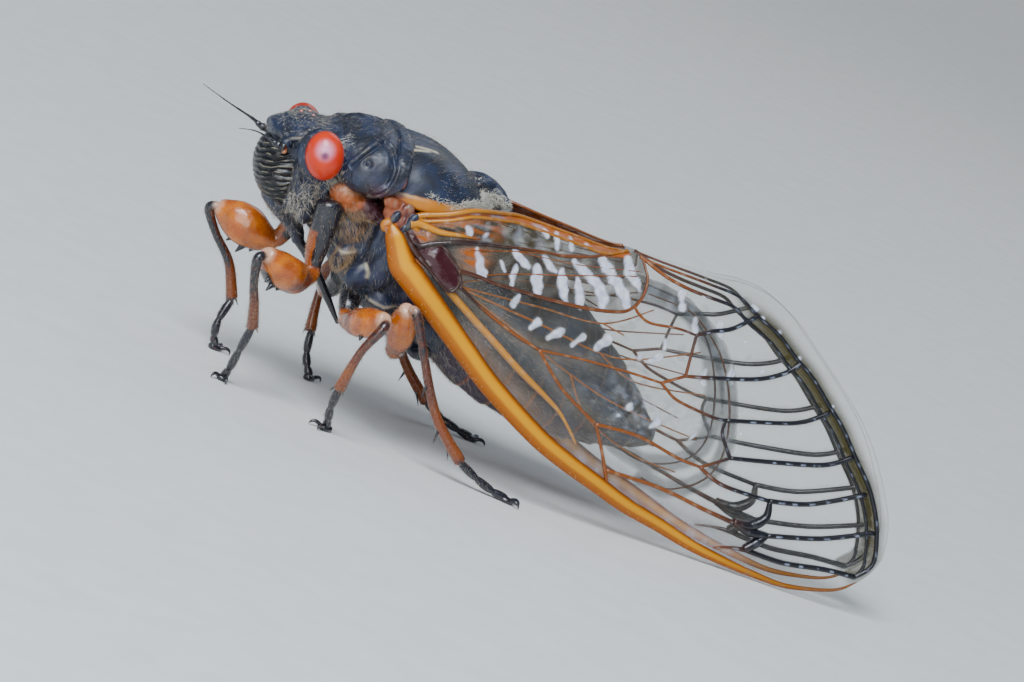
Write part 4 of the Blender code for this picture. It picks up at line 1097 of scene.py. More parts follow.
hindHigh = [(9.5, -3.9), (9.9, -3.0), (11.0, -1.8), (12.5, -1.1), (15.0, -0.7), (18.52, -0.41), (21.75, 0.08),
            (23.45, 0.06), (25.02, -0.16), (26.11, -0.65), (27.41, -1.5), (28.56, -2.66), (29.55, -4.23),
            (30.19, -5.61), (30.72, -7.17), (30.81, -7.88)]


def fold(x, z):
    top, near, far, bend = (np.interp(x, foldRows[:, 0], foldRows[:, k]) for k in range(1, 5))
    return near + (far - near) * (1 - np.exp(-np.maximum(0, top - z) / bend))


def softFold(x, z):
    # evened along the wing, so that the rows leave no creases
    near = ((-1.0, 0.15), (-0.5, 0.22), (0, 0.26), (0.5, 0.22), (1.0, 0.15))
    return sum(weight * fold(x + step, z) for step, weight in near)


def onWing(x, z, inward=0.0):
    x, z = np.asarray(x, float), np.asarray(z, float)
    step = 0.05
    slopeX = (softFold(x + step, z) - softFold(x - step, z)) / (2 * step)
    slopeZ = (softFold(x, z + step) - softFold(x, z - step)) / (2 * step)
    face = unit(np.stack([slopeX, np.ones_like(x), slopeZ], -1))
    return np.stack([x, -softFold(x, z), z], -1) + face * np.asarray(inward)[..., None]


foreVeins = {
    "claval": ([(6.05, -1.22), (6.42, -0.92), (7.73, -0.32), (8.95, 0.33), (9.93, 0.55), (11.45, 0.66),
                (12.31, 0.77), (13.76, 0.8), (15.18, 0.81), (16.59, 0.84), (18.52, 0.86), (19.83, 1.06)],
               (0.22, 0.14, 0.07)),
    "fold": ([(6.6, -2.5), (7.0, -2.5), (7.57, -2.12), (9.01, -1.48), (10.35, -1.16), (11.78, -0.94),
              (13.14, -0.71), (14.5, -0.48), (15.88, -0.32), (17.24, 0.04), (18.58, 0.51), (19.46, 0.92),
              (19.84, 1.06)], (0.2, 0.12, 0.07)),
    "anal": ([(5.95, -1.62), (6.46, -1.42), (7.69, -1.39), (8.87, -1.12), (10.13, -0.97)], (0.36, 0.22, 0.05)),
    "loop": ([(9.47, -3.01), (10.57, -2.92), (12.01, -2.96), (13.37, -2.87), (14.74, -2.8), (16.11, -2.68),
              (17.49, -2.54), (18.86, -2.33), (20.06, -2.05), (20.61, -1.77), (21.05, -1.29), (21.32, -0.58),
              (21.32, 0.15), (21.12, 0.52), (20.89, 0.89), (20.66, 1.12)], (0.16, 0.13, 0.08)),
    "pleatA": ([(9.59, -1.75), (13.11, -0.87), (15.72, -0.27), (19.29, 0.58)], (0.05, 0.045, 0.04)),
    "pleatB": ([(11.24, -2.7), (13.44, -1.96), (15.97, -1.27), (18.55, -0.55), (20.65, 0.03)],
               (0.045, 0.05, 0.045)),
    "pleatC": ([(12.33, -1.02), (14.46, -0.78), (17.13, -0.43), (20.83, 0.32)], (0.03, 0.04, 0.03)),
    "loopA": ([(20.97, -1.53), (21.29, -1.79), (22.16, -2.03), (23.96, -1.78), (25.24, -1.78)],
              (0.1, 0.1, 0.09)),
    "firstA": ([(25.24, -1.78), (26.29, -1.2), (27.37, -0.71), (28.68, 0.43)], (0.12, 0.16, 0.16)),
    "firstB": ([(25.24, -1.78), (25.31, -2.68), (25.46, -4.15)], (0.11, 0.11, 0.11)),
    "second": ([(25.46, -4.15), (26.8, -3.84), (29.98, -2.97), (31.61, -2.1), (32.41, -1.22)],
               (0.12, 0.16, 0.18)),
    "secondB": ([(25.46, -4.15), (24.11, -4.97)], (0.11, 0.11, 0.11)),
    "basalA": ([(9.91, -3.79), (11.5, -4.43), (13.99, -5.17), (15.91, -5.55)], (0.12, 0.11, 0.1)),
    "middle": ([(15.91, -5.55), (18.47, -5.23), (21.71, -5.02), (24.11, -4.97)], (0.09, 0.09, 0.09)),
    "third": ([(24.11, -4.97), (24.56, -5.21), (25.59, -5.63), (28.09, -5.88), (29.13, -5.82)],
              (0.11, 0.11, 0.11)),
    "thirdA": ([(29.13, -5.82), (32.65, -4.89), (34.14, -4.29), (35.37, -3.36)], (0.15, 0.16, 0.18)),
    "thirdB": ([(29.13, -5.82), (29.26, -6.65), (30.38, -7.83)], (0.11, 0.12, 0.14)),
    "fourth": ([(30.38, -7.83), (33.11, -7.23), (36.37, -6.34), (37.94, -5.32)], (0.15, 0.18, 0.18)),
    "fourthB": ([(30.38, -7.83), (29.55, -8.4), (28.73, -8.9)], (0.11, 0.11, 0.11)),
    "lowA": ([(15.91, -5.55), (18.19, -7.18), (21.05, -8.44)], (0.11, 0.11, 0.11)),
    "lowB": ([(21.05, -8.44), (23.99, -8.31), (26.98, -8.79), (28.73, -8.9)], (0.14, 0.12, 0.11)),
    "lowC": ([(21.05, -8.44), (22.17, -9.86), (23.25, -11.46)], (0.12, 0.12, 0.15)),
    "fifth": ([(28.73, -8.9), (30.64, -9.49), (33.95, -9.47)], (0.14, 0.15, 0.15)),
    "fifthA": ([(33.95, -9.47), (36.56, -8.81), (39.72, -7.11)], (0.18, 0.18, 0.18)),
    "fifthB": ([(34.04, -9.5), (34.21, -10.47), (33.45, -11.22), (32.31, -11.36)], (0.17, 0.38, 0.3)),
    "sixth": ([(22.89, -10.79), (26.59, -10.81), (30.25, -11.22), (32.63, -11.42)], (0.15, 0.14, 0.19)),
    "sixthA": ([(32.52, -11.36), (33.55, -11.58), (34.75, -11.48)], (0.3, 0.38, 0.24)),
    "sixthB": ([(34.75, -11.48), (38.08, -10.54), (41.19, -9.1)], (0.19, 0.18, 0.18)),
    "seventh": ([(34.75, -11.48), (34.28, -12.09), (33.72, -12.69)], (0.22, 0.38, 0.3)),
    "seventhA": ([(33.87, -12.7), (32.83, -12.86), (31.77, -13.18)], (0.2, 0.1, 0.06)),
    "eighth": ([(33.87, -12.7), (36.42, -12.69), (39.14, -12.19), (41.19, -11.97)], (0.19, 0.19, 0.19)),
    "border": ([(20.64, 1.03), (22.27, 1.01), (25.31, 1.1), (27.19, 1.07), (28.54, 0.49), (30.44, -0.15),
                (31.96, -1.01), (33.47, -1.76), (35.09, -2.88), (36.62, -3.93), (38.11, -5.26), (39.83, -6.77),
                (41.14, -8.55), (41.93, -10.5), (41.77, -11.31), (41.19, -11.97)], (0.08, 0.16, 0.17)),
    "inner": ([(5.8, -2.2), (6.5, -2.78), (7.2, -3.2), (7.95, -3.52)], (0.22, 0.25, 0.12)),
    "cellA": ([(6.82, -2.72), (8.07, -2.06), (9.55, -3.04), (9.81, -3.8), (9.3, -4.29), (7.79, -3.5)],
              (0.1, 0.12, 0.1))}
hindVeins = {
    "costa": ([(9.5, -4.2), (11.57, -5.2), (13.48, -6.1), (15.57, -7.09), (17.57, -7.92), (19.01, -8.64),
               (20.68, -9.97)], (0.28, 0.24, 0.08)),
    "first": ([(10.2, -3.65), (10.56, -3.72), (15.12, -3.2), (19.48, -2.82), (22.37, -1.13)],
              (0.08, 0.07, 0.05)),
    "firstB": ([(19.48, -2.82), (21.0, -3.05)], (0.06, 0.06, 0.05)),
    "second": ([(10.2, -3.75), (11.08, -3.87), (15.35, -4.09), (17.38, -4.28), (19.88, -4.48), (22.17, -4.18),
                (26.14, -2.55)], (0.09, 0.08, 0.05)),
    "secondB": ([(19.88, -4.48), (22.72, -5.41), (27.52, -4.84)], (0.07, 0.06, 0.05)),
    "third": ([(10.3, -3.9), (14.0, -4.9), (18.56, -6.23), (22.21, -7.01), (28.13, -7.51)],
              (0.08, 0.07, 0.05)),
    "fourth": ([(18.56, -6.23), (20.62, -8.27), (24.36, -9.49), (27.62, -9.72)], (0.07, 0.06, 0.05)),
    "fifth": ([(10.2, -3.5), (13.0, -2.3), (17.01, -1.61), (21.06, -0.93)], (0.07, 0.06, 0.05)),
    "border": ([(21.77, -0.38), (23.48, -0.4), (24.87, -0.57), (25.84, -1.1), (27.06, -1.95), (28.08, -3.01),
                (28.99, -4.37), (29.62, -5.71), (30.09, -7.25), (30.11, -8.57), (29.65, -9.57), (28.71, -10.36),
                (27.31, -10.87), (25.67, -10.65)], (0.05, 0.08, 0.06))}
# wrinkles of the membrane that carry painted white glints in place of the light they reflect, as rows of x, z
# and half width
wrinkleGlints = [[(10.14, -1.5, 0.14), (10.6, -2.26, 0.26), (11.0, -2.79, 0.35)],
         [(11.86, -1.75, 0.09), (12.29, -2.16, 0.12)],
         [(12.62, -1.0, 0.2), (13.03, -1.25, 0.29), (13.67, -1.51, 0.17)],
         [(12.88, -1.67, 0.14), (12.91, -2.34, 0.2), (12.96, -2.67, 0.12)],
         [(14.44, -0.76, 0.14), (14.95, -1.05, 0.23), (15.43, -1.2, 0.14)],
         [(14.23, -1.49, 0.29), (14.4, -2.04, 0.4), (14.67, -2.57, 0.23)],
         [(16.5, -0.39, 0.17), (17.04, -0.67, 0.29), (17.55, -0.82, 0.23), (18.33, -1.18, 0.35),
          (18.79, -1.74, 0.38), (18.86, -2.25, 0.23)],
         [(15.83, -1.16, 0.23), (16.04, -1.86, 0.35), (16.46, -2.51, 0.17)],
         [(16.83, -1.17, 0.14), (17.15, -1.75, 0.29), (17.47, -2.43, 0.26)],
         [(18.24, 0.17, 0.26), (18.75, -0.19, 0.35), (19.46, -0.71, 0.35), (20.08, -1.21, 0.35),
          (20.51, -1.69, 0.23)],
         [(19.92, 0.63, 0.26), (20.11, 0.12, 0.38), (20.57, -0.24, 0.29), (20.95, -0.63, 0.14)],
         [(9.1, -0.56, 0.17), (9.39, -0.89, 0.17)], [(10.41, -0.64, 0.17)],
         [(14.24, 0.43, 0.17), (14.45, 0.3, 0.17)], [(15.08, 0.53, 0.17), (15.23, -0.05, 0.17)],
         [(16.02, 0.58, 0.14), (16.19, 0.15, 0.17)], [(17.08, 0.5, 0.14)],
         [(13.59, -3.17, 0.17), (13.42, -3.71, 0.23)], [(14.87, -4.54, 0.17), (15.25, -4.09, 0.26)],
         [(16.15, -4.7, 0.17), (16.7, -4.19, 0.29)], [(17.76, -4.65, 0.12), (18.18, -4.02, 0.23)],
         [(19.77, -3.7, 0.35), (19.27, -4.37, 0.2)], [(23.62, 0.01, 0.29), (23.66, -0.35, 0.17)],
         [(23.83, -0.66, 0.29)], [(24.86, -1.02, 0.2), (25.04, -1.68, 0.23)], [(24.91, 1.28, 0.12)],
         [(24.96, 0.32, 0.17)], [(26.44, -0.66, 0.23), (26.58, -1.05, 0.29), (26.91, -1.49, 0.12)],
         [(28.18, 0.89, 0.17), (28.46, 0.78, 0.14)], [(29.06, 0.44, 0.17)], [(30.41, 0.01, 0.17)],
         [(27.85, -0.12, 0.12)], [(28.38, -1.23, 0.12)], [(23.38, -2.65, 0.17), (23.47, -3.08, 0.14)],
         [(22.15, -4.02, 0.23)], [(23.32, -3.66, 0.29), (22.86, -4.06, 0.14)],
         [(26.52, -3.56, 0.23), (26.74, -4.26, 0.2)],
         [(28.06, -2.74, 0.12), (28.26, -3.17, 0.26), (28.57, -3.69, 0.09)], [(30.17, -2.44, 0.17)],
         [(32.26, -1.02, 0.14)], [(33.12, -1.51, 0.14)], [(22.69, -6.9, 0.26)], [(22.2, -7.54, 0.14)],
         [(24.8, -7.18, 0.26), (24.42, -7.57, 0.12)], [(27.5, -7.09, 0.14), (27.16, -7.76, 0.1)],
         [(29.78, -4.94, 0.14)], [(30.32, -6.25, 0.17)], [(35.41, -2.92, 0.12)], [(42.01, -10.67, 0.17)]]


def glintsOn(view):
    value = np.zeros(len(view))
    wobble = 0.045 * ripple(view, 0.6, 71)
    for row in wrinkleGlints:
        row = np.array(row + row[:1] if len(row) == 1 else row)
        for a, b in zip(row[:-1], row[1:]):
            ab = b[:2] - a[:2]
            t = np.clip(((view - a[:2]) @ ab) / max(ab @ ab, 1e-9), 0, 1)
            gap = apart(view, (a[:2] + t[:, None] * ab)) - (a[2] + (b[2] - a[2]) * t)
            value = np.maximum(value, slope(-(gap + wobble), -0.05, 0.09))
    return value * (0.8 + 0.2 * slope(ripple(view, 0.5, 77), -0.8, 0.8))


def wingNet(name, low, high, columns, rows, inward, shape):
    # a net of even quads between the lower and upper edges, and shape() gives its swell and its marks
    low, high = smoothLine(low, 8), smoothLine(high, 8)
    first, last = low[0, 0], low[-1, 0]
    t = np.linspace(0, 1, columns)
    ease = 0.5 - 0.5 * np.cos(np.pi * t)
    x = first + (last - first) * (0.55 * t + 0.45 * ease)
    order = np.argsort(low[:, 0])
    zLow = np.interp(x, low[order, 0], low[order, 1])
    order = np.argsort(high[:, 0])
    zHigh = np.maximum(np.interp(x, high[order, 0], high[order, 1]), zLow + 0.004)
    v = np.linspace(0, 1, rows)
    gridX = np.repeat(x[:, None], rows, 1)
    gridZ = zLow[:, None] + (zHigh - zLow)[:, None] * v[None]
    view = np.stack([gridX.ravel(), gridZ.ravel()], 1)
    swell, marks = shape(view)
    co = onWing(view[:, 0], view[:, 1], inward - swell)
    faces = []
    for i in range(columns - 1):
        for k in range(rows - 1):
            a = i * rows + k
            faces.append((a, a + rows, a + rows + 1, a + 1))
    made = newPiece(name, co.tolist(), faces)
    for key, values in marks.items():
        paint(made, key, values)
    return made


# places painted on the forewing, as middles and half sizes, and lines there
foreSpots = {
    "paleSheen": ((23.2, -6.6), (3.0, 1.4)),
    "paleSheenFar": ((28.5, -7.0), (1.6, 1.3)),
    "wisps": ((24.5, -6.2), (4.5, 2.4)),
    "amber": ((10.0, -2.0), (0.95, 0.85)),
    "smoke": ((24.0, -6.8), (3.2, 1.3))}
foreLines = {
    "maroon": [(6.0, -2.1), (6.9, -2.75), (8.3, -3.5)], "amber": [(6.5, -1.3), (9.0, -0.6), (11.0, -0.2)],
    "clavalGold": np.array(foreVeins["claval"][0]) - (0, 0.18), "rim": smoothLine(foreHigh[14:], 4),
    "rearCell": foreVeins["claval"][0] + foreVeins["fold"][0][::-1],
    "middleCell": foreVeins["fold"][0] + foreVeins["loop"][0][::-1],
    "insideBorder": foreVeins["border"][0] + [(30.0, -10.0), (20.0, -4.0)]}


def foreShape(view):
    # how the membrane swells between the veins, and what is painted on it
    x, z = view.T

    def spot(key):
        return bell(apart(view, *foreSpots[key]))

    def patchy(size, seed, low, high, stretch=(1, 1)):
        return slope(ripple(view * stretch, size, seed), low, high)

    gap = nearest(view, [line for line, _ in foreVeins.values()])
    # painted glints where the wrinkles reflect the light
    glint = glintsOn(view)
    swell = 0.10 * slope(gap, 0, 1.1) + 0.02 * ripple(view, 0.9, 72) + 0.025 * glint
    maroon = np.maximum(within(view, foreVeins["cellA"][0]) * 1.0,
                        slope(-lineGap(view, foreLines["maroon"]), -0.36, -0.26))

    # the cell behind the claval vein, a band along the front edge, and the sides of the lower veins
    rear = within(view, foreLines["rearCell"])
    rear = rear * slope(x, 8.2, 9.6) * slope(-x, -17.5, -13.5) * slope(gap, 0.0, 0.2)
    costal = lineGap(view, foreLow) - 0.9
    front = bell(costal, 0.8) * slope(x, 17, 21) * slope(-x, -37, -31)
    seam = bell(gap, 0.5) * slope(x, 10, 12) * slope(-x, -25, -16) * slope(-z, 3.4, 4.2)

    # painted sheen: pale wisps of reflected light, also along the front edge and in the cell behind the claval
    # vein
    paleSheen = spot("paleSheen") * patchy(0.8, 73, -0.3, 1.0)
    paleSheen += 0.8 * spot("paleSheenFar") * patchy(0.6, 74, 0.0, 1.2)
    wisps = patchy(0.55, 82, 0.5, 1.4, (0.6, 1.5)) * spot("wisps")
    paleSheen = paleSheen + 1.3 * wisps + front * (0.5 + 0.4 * patchy(1.1, 83, -0.5, 1.0))
    paleSheen = paleSheen + 0.45 * rear * patchy(0.9, 86, -0.2, 1.6, (0.7, 1.3))

    streaks = patchy(0.6, 78, -0.9, 0.6, (0.35, 1.6))
    amber = np.max([
        spot("amber") * (0.65 + 0.6 * streaks),
        0.75 * bell(lineGap(view, foreLines["amber"]), 0.6) * streaks,
        0.95 * slope(-lineGap(view, foreLines["clavalGold"]), -0.26, -0.14),
        0.3 * front,
        0.35 * bell(costal - 0.4, 0.7) * slope(x, 10, 12) * slope(-x, -21, -16),
        seam * (0.12 + 0.12 * streaks),
        1.2 * (slope(-x, -8.3, -6.6) * (0.55 + 0.45 * streaks))], axis=0)

    edge = lineGap(view, foreVeins["border"][0])
    inside = within(view, foreLines["insideBorder"])
    dusk = np.where(inside, 0.85 * slope(-edge, -0.85, -0.6), 0.6 * slope(-edge, -0.95, -0.12))
    dusk = dusk * slope(x, 27, 30)
    dusk = np.maximum(dusk, 0.6 * bell(lineGap(view, foreLines["rim"]), 0.05) * slope(x, 24, 27))
    dusk += 0.35 * bell(gap, 0.25) * slope(x, 24, 30)
    dusk = np.maximum(dusk, rear * (0.2 + 0.5 * patchy(0.8, 85, -0.8, 1.0)))
    dusk = np.maximum(dusk, 0.15 * seam)

    smoke = within(view, foreLines["middleCell"]) * (0.7 + 0.3 * patchy(1.2, 79, -1, 1))
    smoke = smoke * slope(x, 9.5, 11.5)
    smoke = np.maximum(smoke, rear * (0.3 + 0.6 * patchy(0.7, 84, -0.7, 0.9, (0.8, 1.2))))
    smoke = np.maximum(smoke, 0.5 * spot("smoke") * patchy(0.9, 80, -0.4, 0.8))
    return swell, {
        "mark": glint, "smoke": smoke, "maroon": maroon, "amber": amber,
        "paleSheen": np.clip(paleSheen, 0, 1), "dusk": np.clip(dusk, 0, 1)}


def hindShape(view):
    gap = nearest(view, [line for line, _ in hindVeins.values()])
    edge = lineGap(view, hindVeins["border"][0])
    swell = 0.08 * slope(gap, 0, 1.2) + 0.03 * ripple(view, 1.1, 75)
    zero = np.zeros(len(view))
    return swell, {
        "mark": zero, "smoke": zero, "maroon": zero,
        "amber": 0.6 * bell(view[:, 0] - 9.5, 1.2),
        # painted sheen on the hindwing
        "paleSheen": 0.25 * slope(ripple(view, 1.3, 76), 0.2, 1.2),
        "dusk": 0.75 * slope(-edge, -0.75, -0.35)}


# veins that are drawn as double lines, with the distance between the two
veinTwins = {"claval": 0.36, "border": 0.66}
# veins that show few painted glint dashes
veinQuiet = ("inner", "cellA", "fold", "loop", "basalA", "fifthB", "sixthA", "seventh")


def veinShade(name, centre, hind):
    # how dark and how golden a vein is along its run: on the forewing most turn dark towards the tip
    start = 22.0 + 0.75 * np.maximum(0, -centre[:, 2] - 2.0)
    shade = slope(centre[:, 0], start, start + 4.5)
    glow = np.zeros(len(centre))
    back = -centre[:, 0]
    if hind:
        shade[:] = 0.75 if name == "border" else 0.0
        glow[:] = 1.0 if name == "costa" else 0.12
    elif name in ("inner", "cellA"):
        shade[:] = 0.85
    elif name == "fold":
        shade = 0.3 + 0.6 * slope(back, -17.0, -10.0)
    elif name == "anal":
        glow = 0.9 * slope(back, -10.0, -8.5)
    elif name.startswith("claval"):
        glow = 0.35 + 0.4 * slope(back, -13.0, -9.0)
        shade[:] = 0.0
    elif name == "loop":
        shade = np.maximum(shade, 0.3 + 0.4 * slope(back, -17.5, -13.5))
    elif name == "basalA":
        shade = np.maximum(shade, 0.9 * slope(back, -12.5, -11.0))
    return shade, glow


def veinRings(veins, inward, around=16):
    rings = []
    marks = {"dark": [], "gold": [], "lit": [], "crestGlint": []}
    lines = [(name, line, size, 0.0) for name, (line, size) in veins.items()]
    if inward == 0:
        lines += [(name + "Twin", *veins[name], gap) for name, gap in veinTwins.items()]
    for name, line, size, gap in lines:
        path = smoothLine(line, 8)
        t = np.linspace(0, 1, len(path))
        r = np.interp(t, (0, 0.5, 1), size)
        if gap:
            along = unit(np.gradient(path, axis=0))
            away = gap * slope(t, 0, 0.12) * slope(1 - t, 0, 0.12)
            path = path + np.stack([along[:, 1], -along[:, 0]], 1) * away[:, None]
            r = np.full(len(path), 0.07 if name == "claval" else 0.13)
        middle = onWing(path[:, 0], path[:, 1], np.full(len(path), inward))
        ring = sweep(np.column_stack([middle, r * 0.85, r]), around, (0, -1, 0), caps=False)
        rings.append(ring)
        few = name in veinQuiet or inward > 0
        facing = np.cos(2 * np.pi * (np.arange(around) + 0.5) / around)
        # the side that faces out gets a painted highlight, and its crest painted glints
        shine, crest = slope(facing, 0.15, 0.85), slope(facing, 0.84, 0.98)
        dashes = 0.1 if few else 0.4 if name.startswith("border") else 0.9
        marks["crestGlint"] += [np.tile(crest * dashes, len(path)), [0, 0]]
        marks["lit"] += [np.tile(shine, len(path)), [0, 0]]
        shade, glow = veinShade(name, ring.mean(1), inward > 0)
        marks["dark"] += [np.repeat(shade, around), [shade[0], shade[-1]]]
        marks["gold"] += [np.repeat(glow, around), [glow[0], glow[-1]]]
    made = loft("veins", rings)
    for key, values in marks.items():
        paint(made, key, np.concatenate(values))
    return made


costaSizes = {
    "wide": [(0, 0.95), (1.0, 1.25), (2.2, 1.6), (3.6, 1.65), (6.0, 1.48), (10, 1.3), (15, 1.2), (21, 1.05),
             (27, 0.85), (31, 0.6), (35, 0.36), (39, 0.2), (41, 0.14)],
    "high": [(0, 0.35), (3, 0.5), (10, 0.4), (20, 0.3), (28, 0.2), (34, 0.12), (40, 0.07)],
    "around": 28}


def makeFrontEdge():
    s = costaSizes
    outer = smoothLine(foreLow[:19], 10)
    run = np.concatenate([[0], np.cumsum(np.linalg.norm(np.diff(outer, axis=0), axis=1))])
    along = unit(np.gradient(outer, axis=0))
    calm = np.hanning(27) / np.hanning(27).sum()
    along = unit(np.stack([np.convolve(np.pad(along[:, k], 13, "edge"), calm, "valid") for k in (0, 1)], 1))
    inside = np.stack([-along[:, 1], along[:, 0]], 1)
    wide = np.interp(run, *zip(*s["wide"]))
    high = np.interp(run, *zip(*s["high"]))
    ends = np.sqrt(np.clip(run / 0.7, 0.05, 1)) * np.sqrt(np.clip((run[-1] - run) / 0.8, 0.05, 1))
    turn = 2 * np.pi * np.arange(s["around"]) / s["around"]
    cosT, sinT = np.cos(turn), np.sin(turn)
    rings = []
    for p, n, w, h, e in zip(outer, inside, wide, high, ends):
        flat = p + n * (0.5 * w - 0.05) + n * (0.5 * w * e * cosT[:, None])
        lift = h * e * np.sign(sinT) * np.abs(sinT) ** 0.8
        lift += 0.05 * e * np.exp(-((cosT - 0.55) / 0.14) ** 2) * (sinT > 0)
        rings.append(onWing(flat[:, 0], flat[:, 1], -np.where(lift > 0, lift, 0.55 * lift)))
    made = loft("costa", [np.array(rings)])
    paint(made, "across", np.concatenate([np.tile(cosT, len(rings)), [0, 0]]))
    paint(made, "dark", np.concatenate([np.repeat(slope(run, 27, 39) * 0.85, s["around"]), [0, 0.85]]))
    return made


def makeWings():
    fore = wingNet("fore", foreLow, foreHigh, 420, 150, 0.0, foreShape)
    hind = wingNet("hind", hindLow, hindHigh, 130, 60, 0.5, hindShape)
    foreTubes = veinRings(foreVeins, 0)
    hindTubes = veinRings(hindVeins, 0.5)
    edge = makeFrontEdge()
    for side in ("right", "left"):
        pieces = [fore, hind, foreTubes, hindTubes, edge]
        if side == "right":
            pieces = [mirrored(p, "twin") for p in pieces]
            # the painted glints on the wrinkles are fainter on this side, which catches less light
            paint(pieces[0], "mark", painted(fore, "mark") * 0.3)
        settle(pieces[0], "forewing_membrane_" + side, membraneFore, ["forewing_" + side])
        settle(pieces[1], "hindwing_membrane_" + side, membraneHind, ["hindwing_" + side])
        settle(pieces[2], "forewing_veins_" + side, wingVein, ())
        settle(pieces[3], "hindwing_veins_" + side, wingVein, ())
        settle(pieces[4], "forewing_costa_" + side, costaGold, ())


print("cicada: wings")
makeWings()


hingeBits = [((5.3, 4.4, -1.45), (1.05, 0.34, 0.85), "warm"), ((4.65, 4.5, -0.98), (0.62, 0.28, 0.42), "warm"),
             ((5.55, 4.68, -1.1), (0.42, 0.26, 0.5), "red"), ((5.02, 4.82, -1.6), (0.24, 0.2, 0.42), "bare"),
             ((5.98, 4.92, -1.5), (0.28, 0.22, 0.58), "bare"), ((5.5, 4.82, -1.75), (0.22, 0.2, 0.42), "red"),
             ((5.72, 4.97, -2.1), (0.2, 0.17, 0.36), "bare"), ((5.2, 4.72, -2.1), (0.25, 0.2, 0.35), "red"),
             ((4.8, 4.68, -2.25), (0.4, 0.3, 0.42), "gold"), ((6.5, 4.8, -1.25), (0.5, 0.2, 0.2), "gold"),
             ((6.3, 4.9, -1.75), (0.42, 0.2, 0.16), "gold")]
hingePaint = {
    "warm": {"warm": 0.8},
    "red": {"warm": 0.75, "plum": 0.6},
    "gold": {"gold": 0.9},
    "bare": {}}


def makeHinges():
    # the small hard pieces at the root of the wings, grown together by soft skin
    bits = [ball((x, -y, z), sizes, (0, 0.3, 0), 24, 16) for (x, y, z), sizes, _ in hingeBits]
    hinge = fuse("hinge", bits, 0.045, 8)
    co = spots(hinge)
    flat = co * (1, -1, 1)
    # each point takes its colour from the bits nearest to it
    near = np.exp(-11 * np.array([apart(flat, place, sizes) for place, sizes, _ in hingeBits]))
    near /= near.sum(0)
    kinds = [hingePaint[kind] for _, _, kind in hingeBits]
    for key in ("warm", "plum", "gold"):
        paint(hinge, key, sum(part * kind.get(key, 0.0) for part, kind in zip(near, kinds)))
    paint(hinge, "dustAndSheen", np.full(len(co), 0.2))
    streak = slope(ripple(co * (1.6, 1, 0.6), 0.6, 87), -0.3, 1.0)
    paint(hinge, "plum", np.clip(painted(hinge, "plum") + 0.5 * streak * painted(hinge, "warm"), 0, 1))
    paint(hinge, "paleAndHighlight", 0.18 * slope(ripple(co * (1.5, 1, 0.7), 0.7, 84), 0.3, 1.5))
    push(hinge, ripple(co * (1.4, 1, 0.7), 0.4, 81) * 0.01)
    for side, piece in (("right", mirrored(hinge, "twin")), ("left", hinge)):
        settle(piece, "wing_hinge_" + side, shell)


makeHinges()


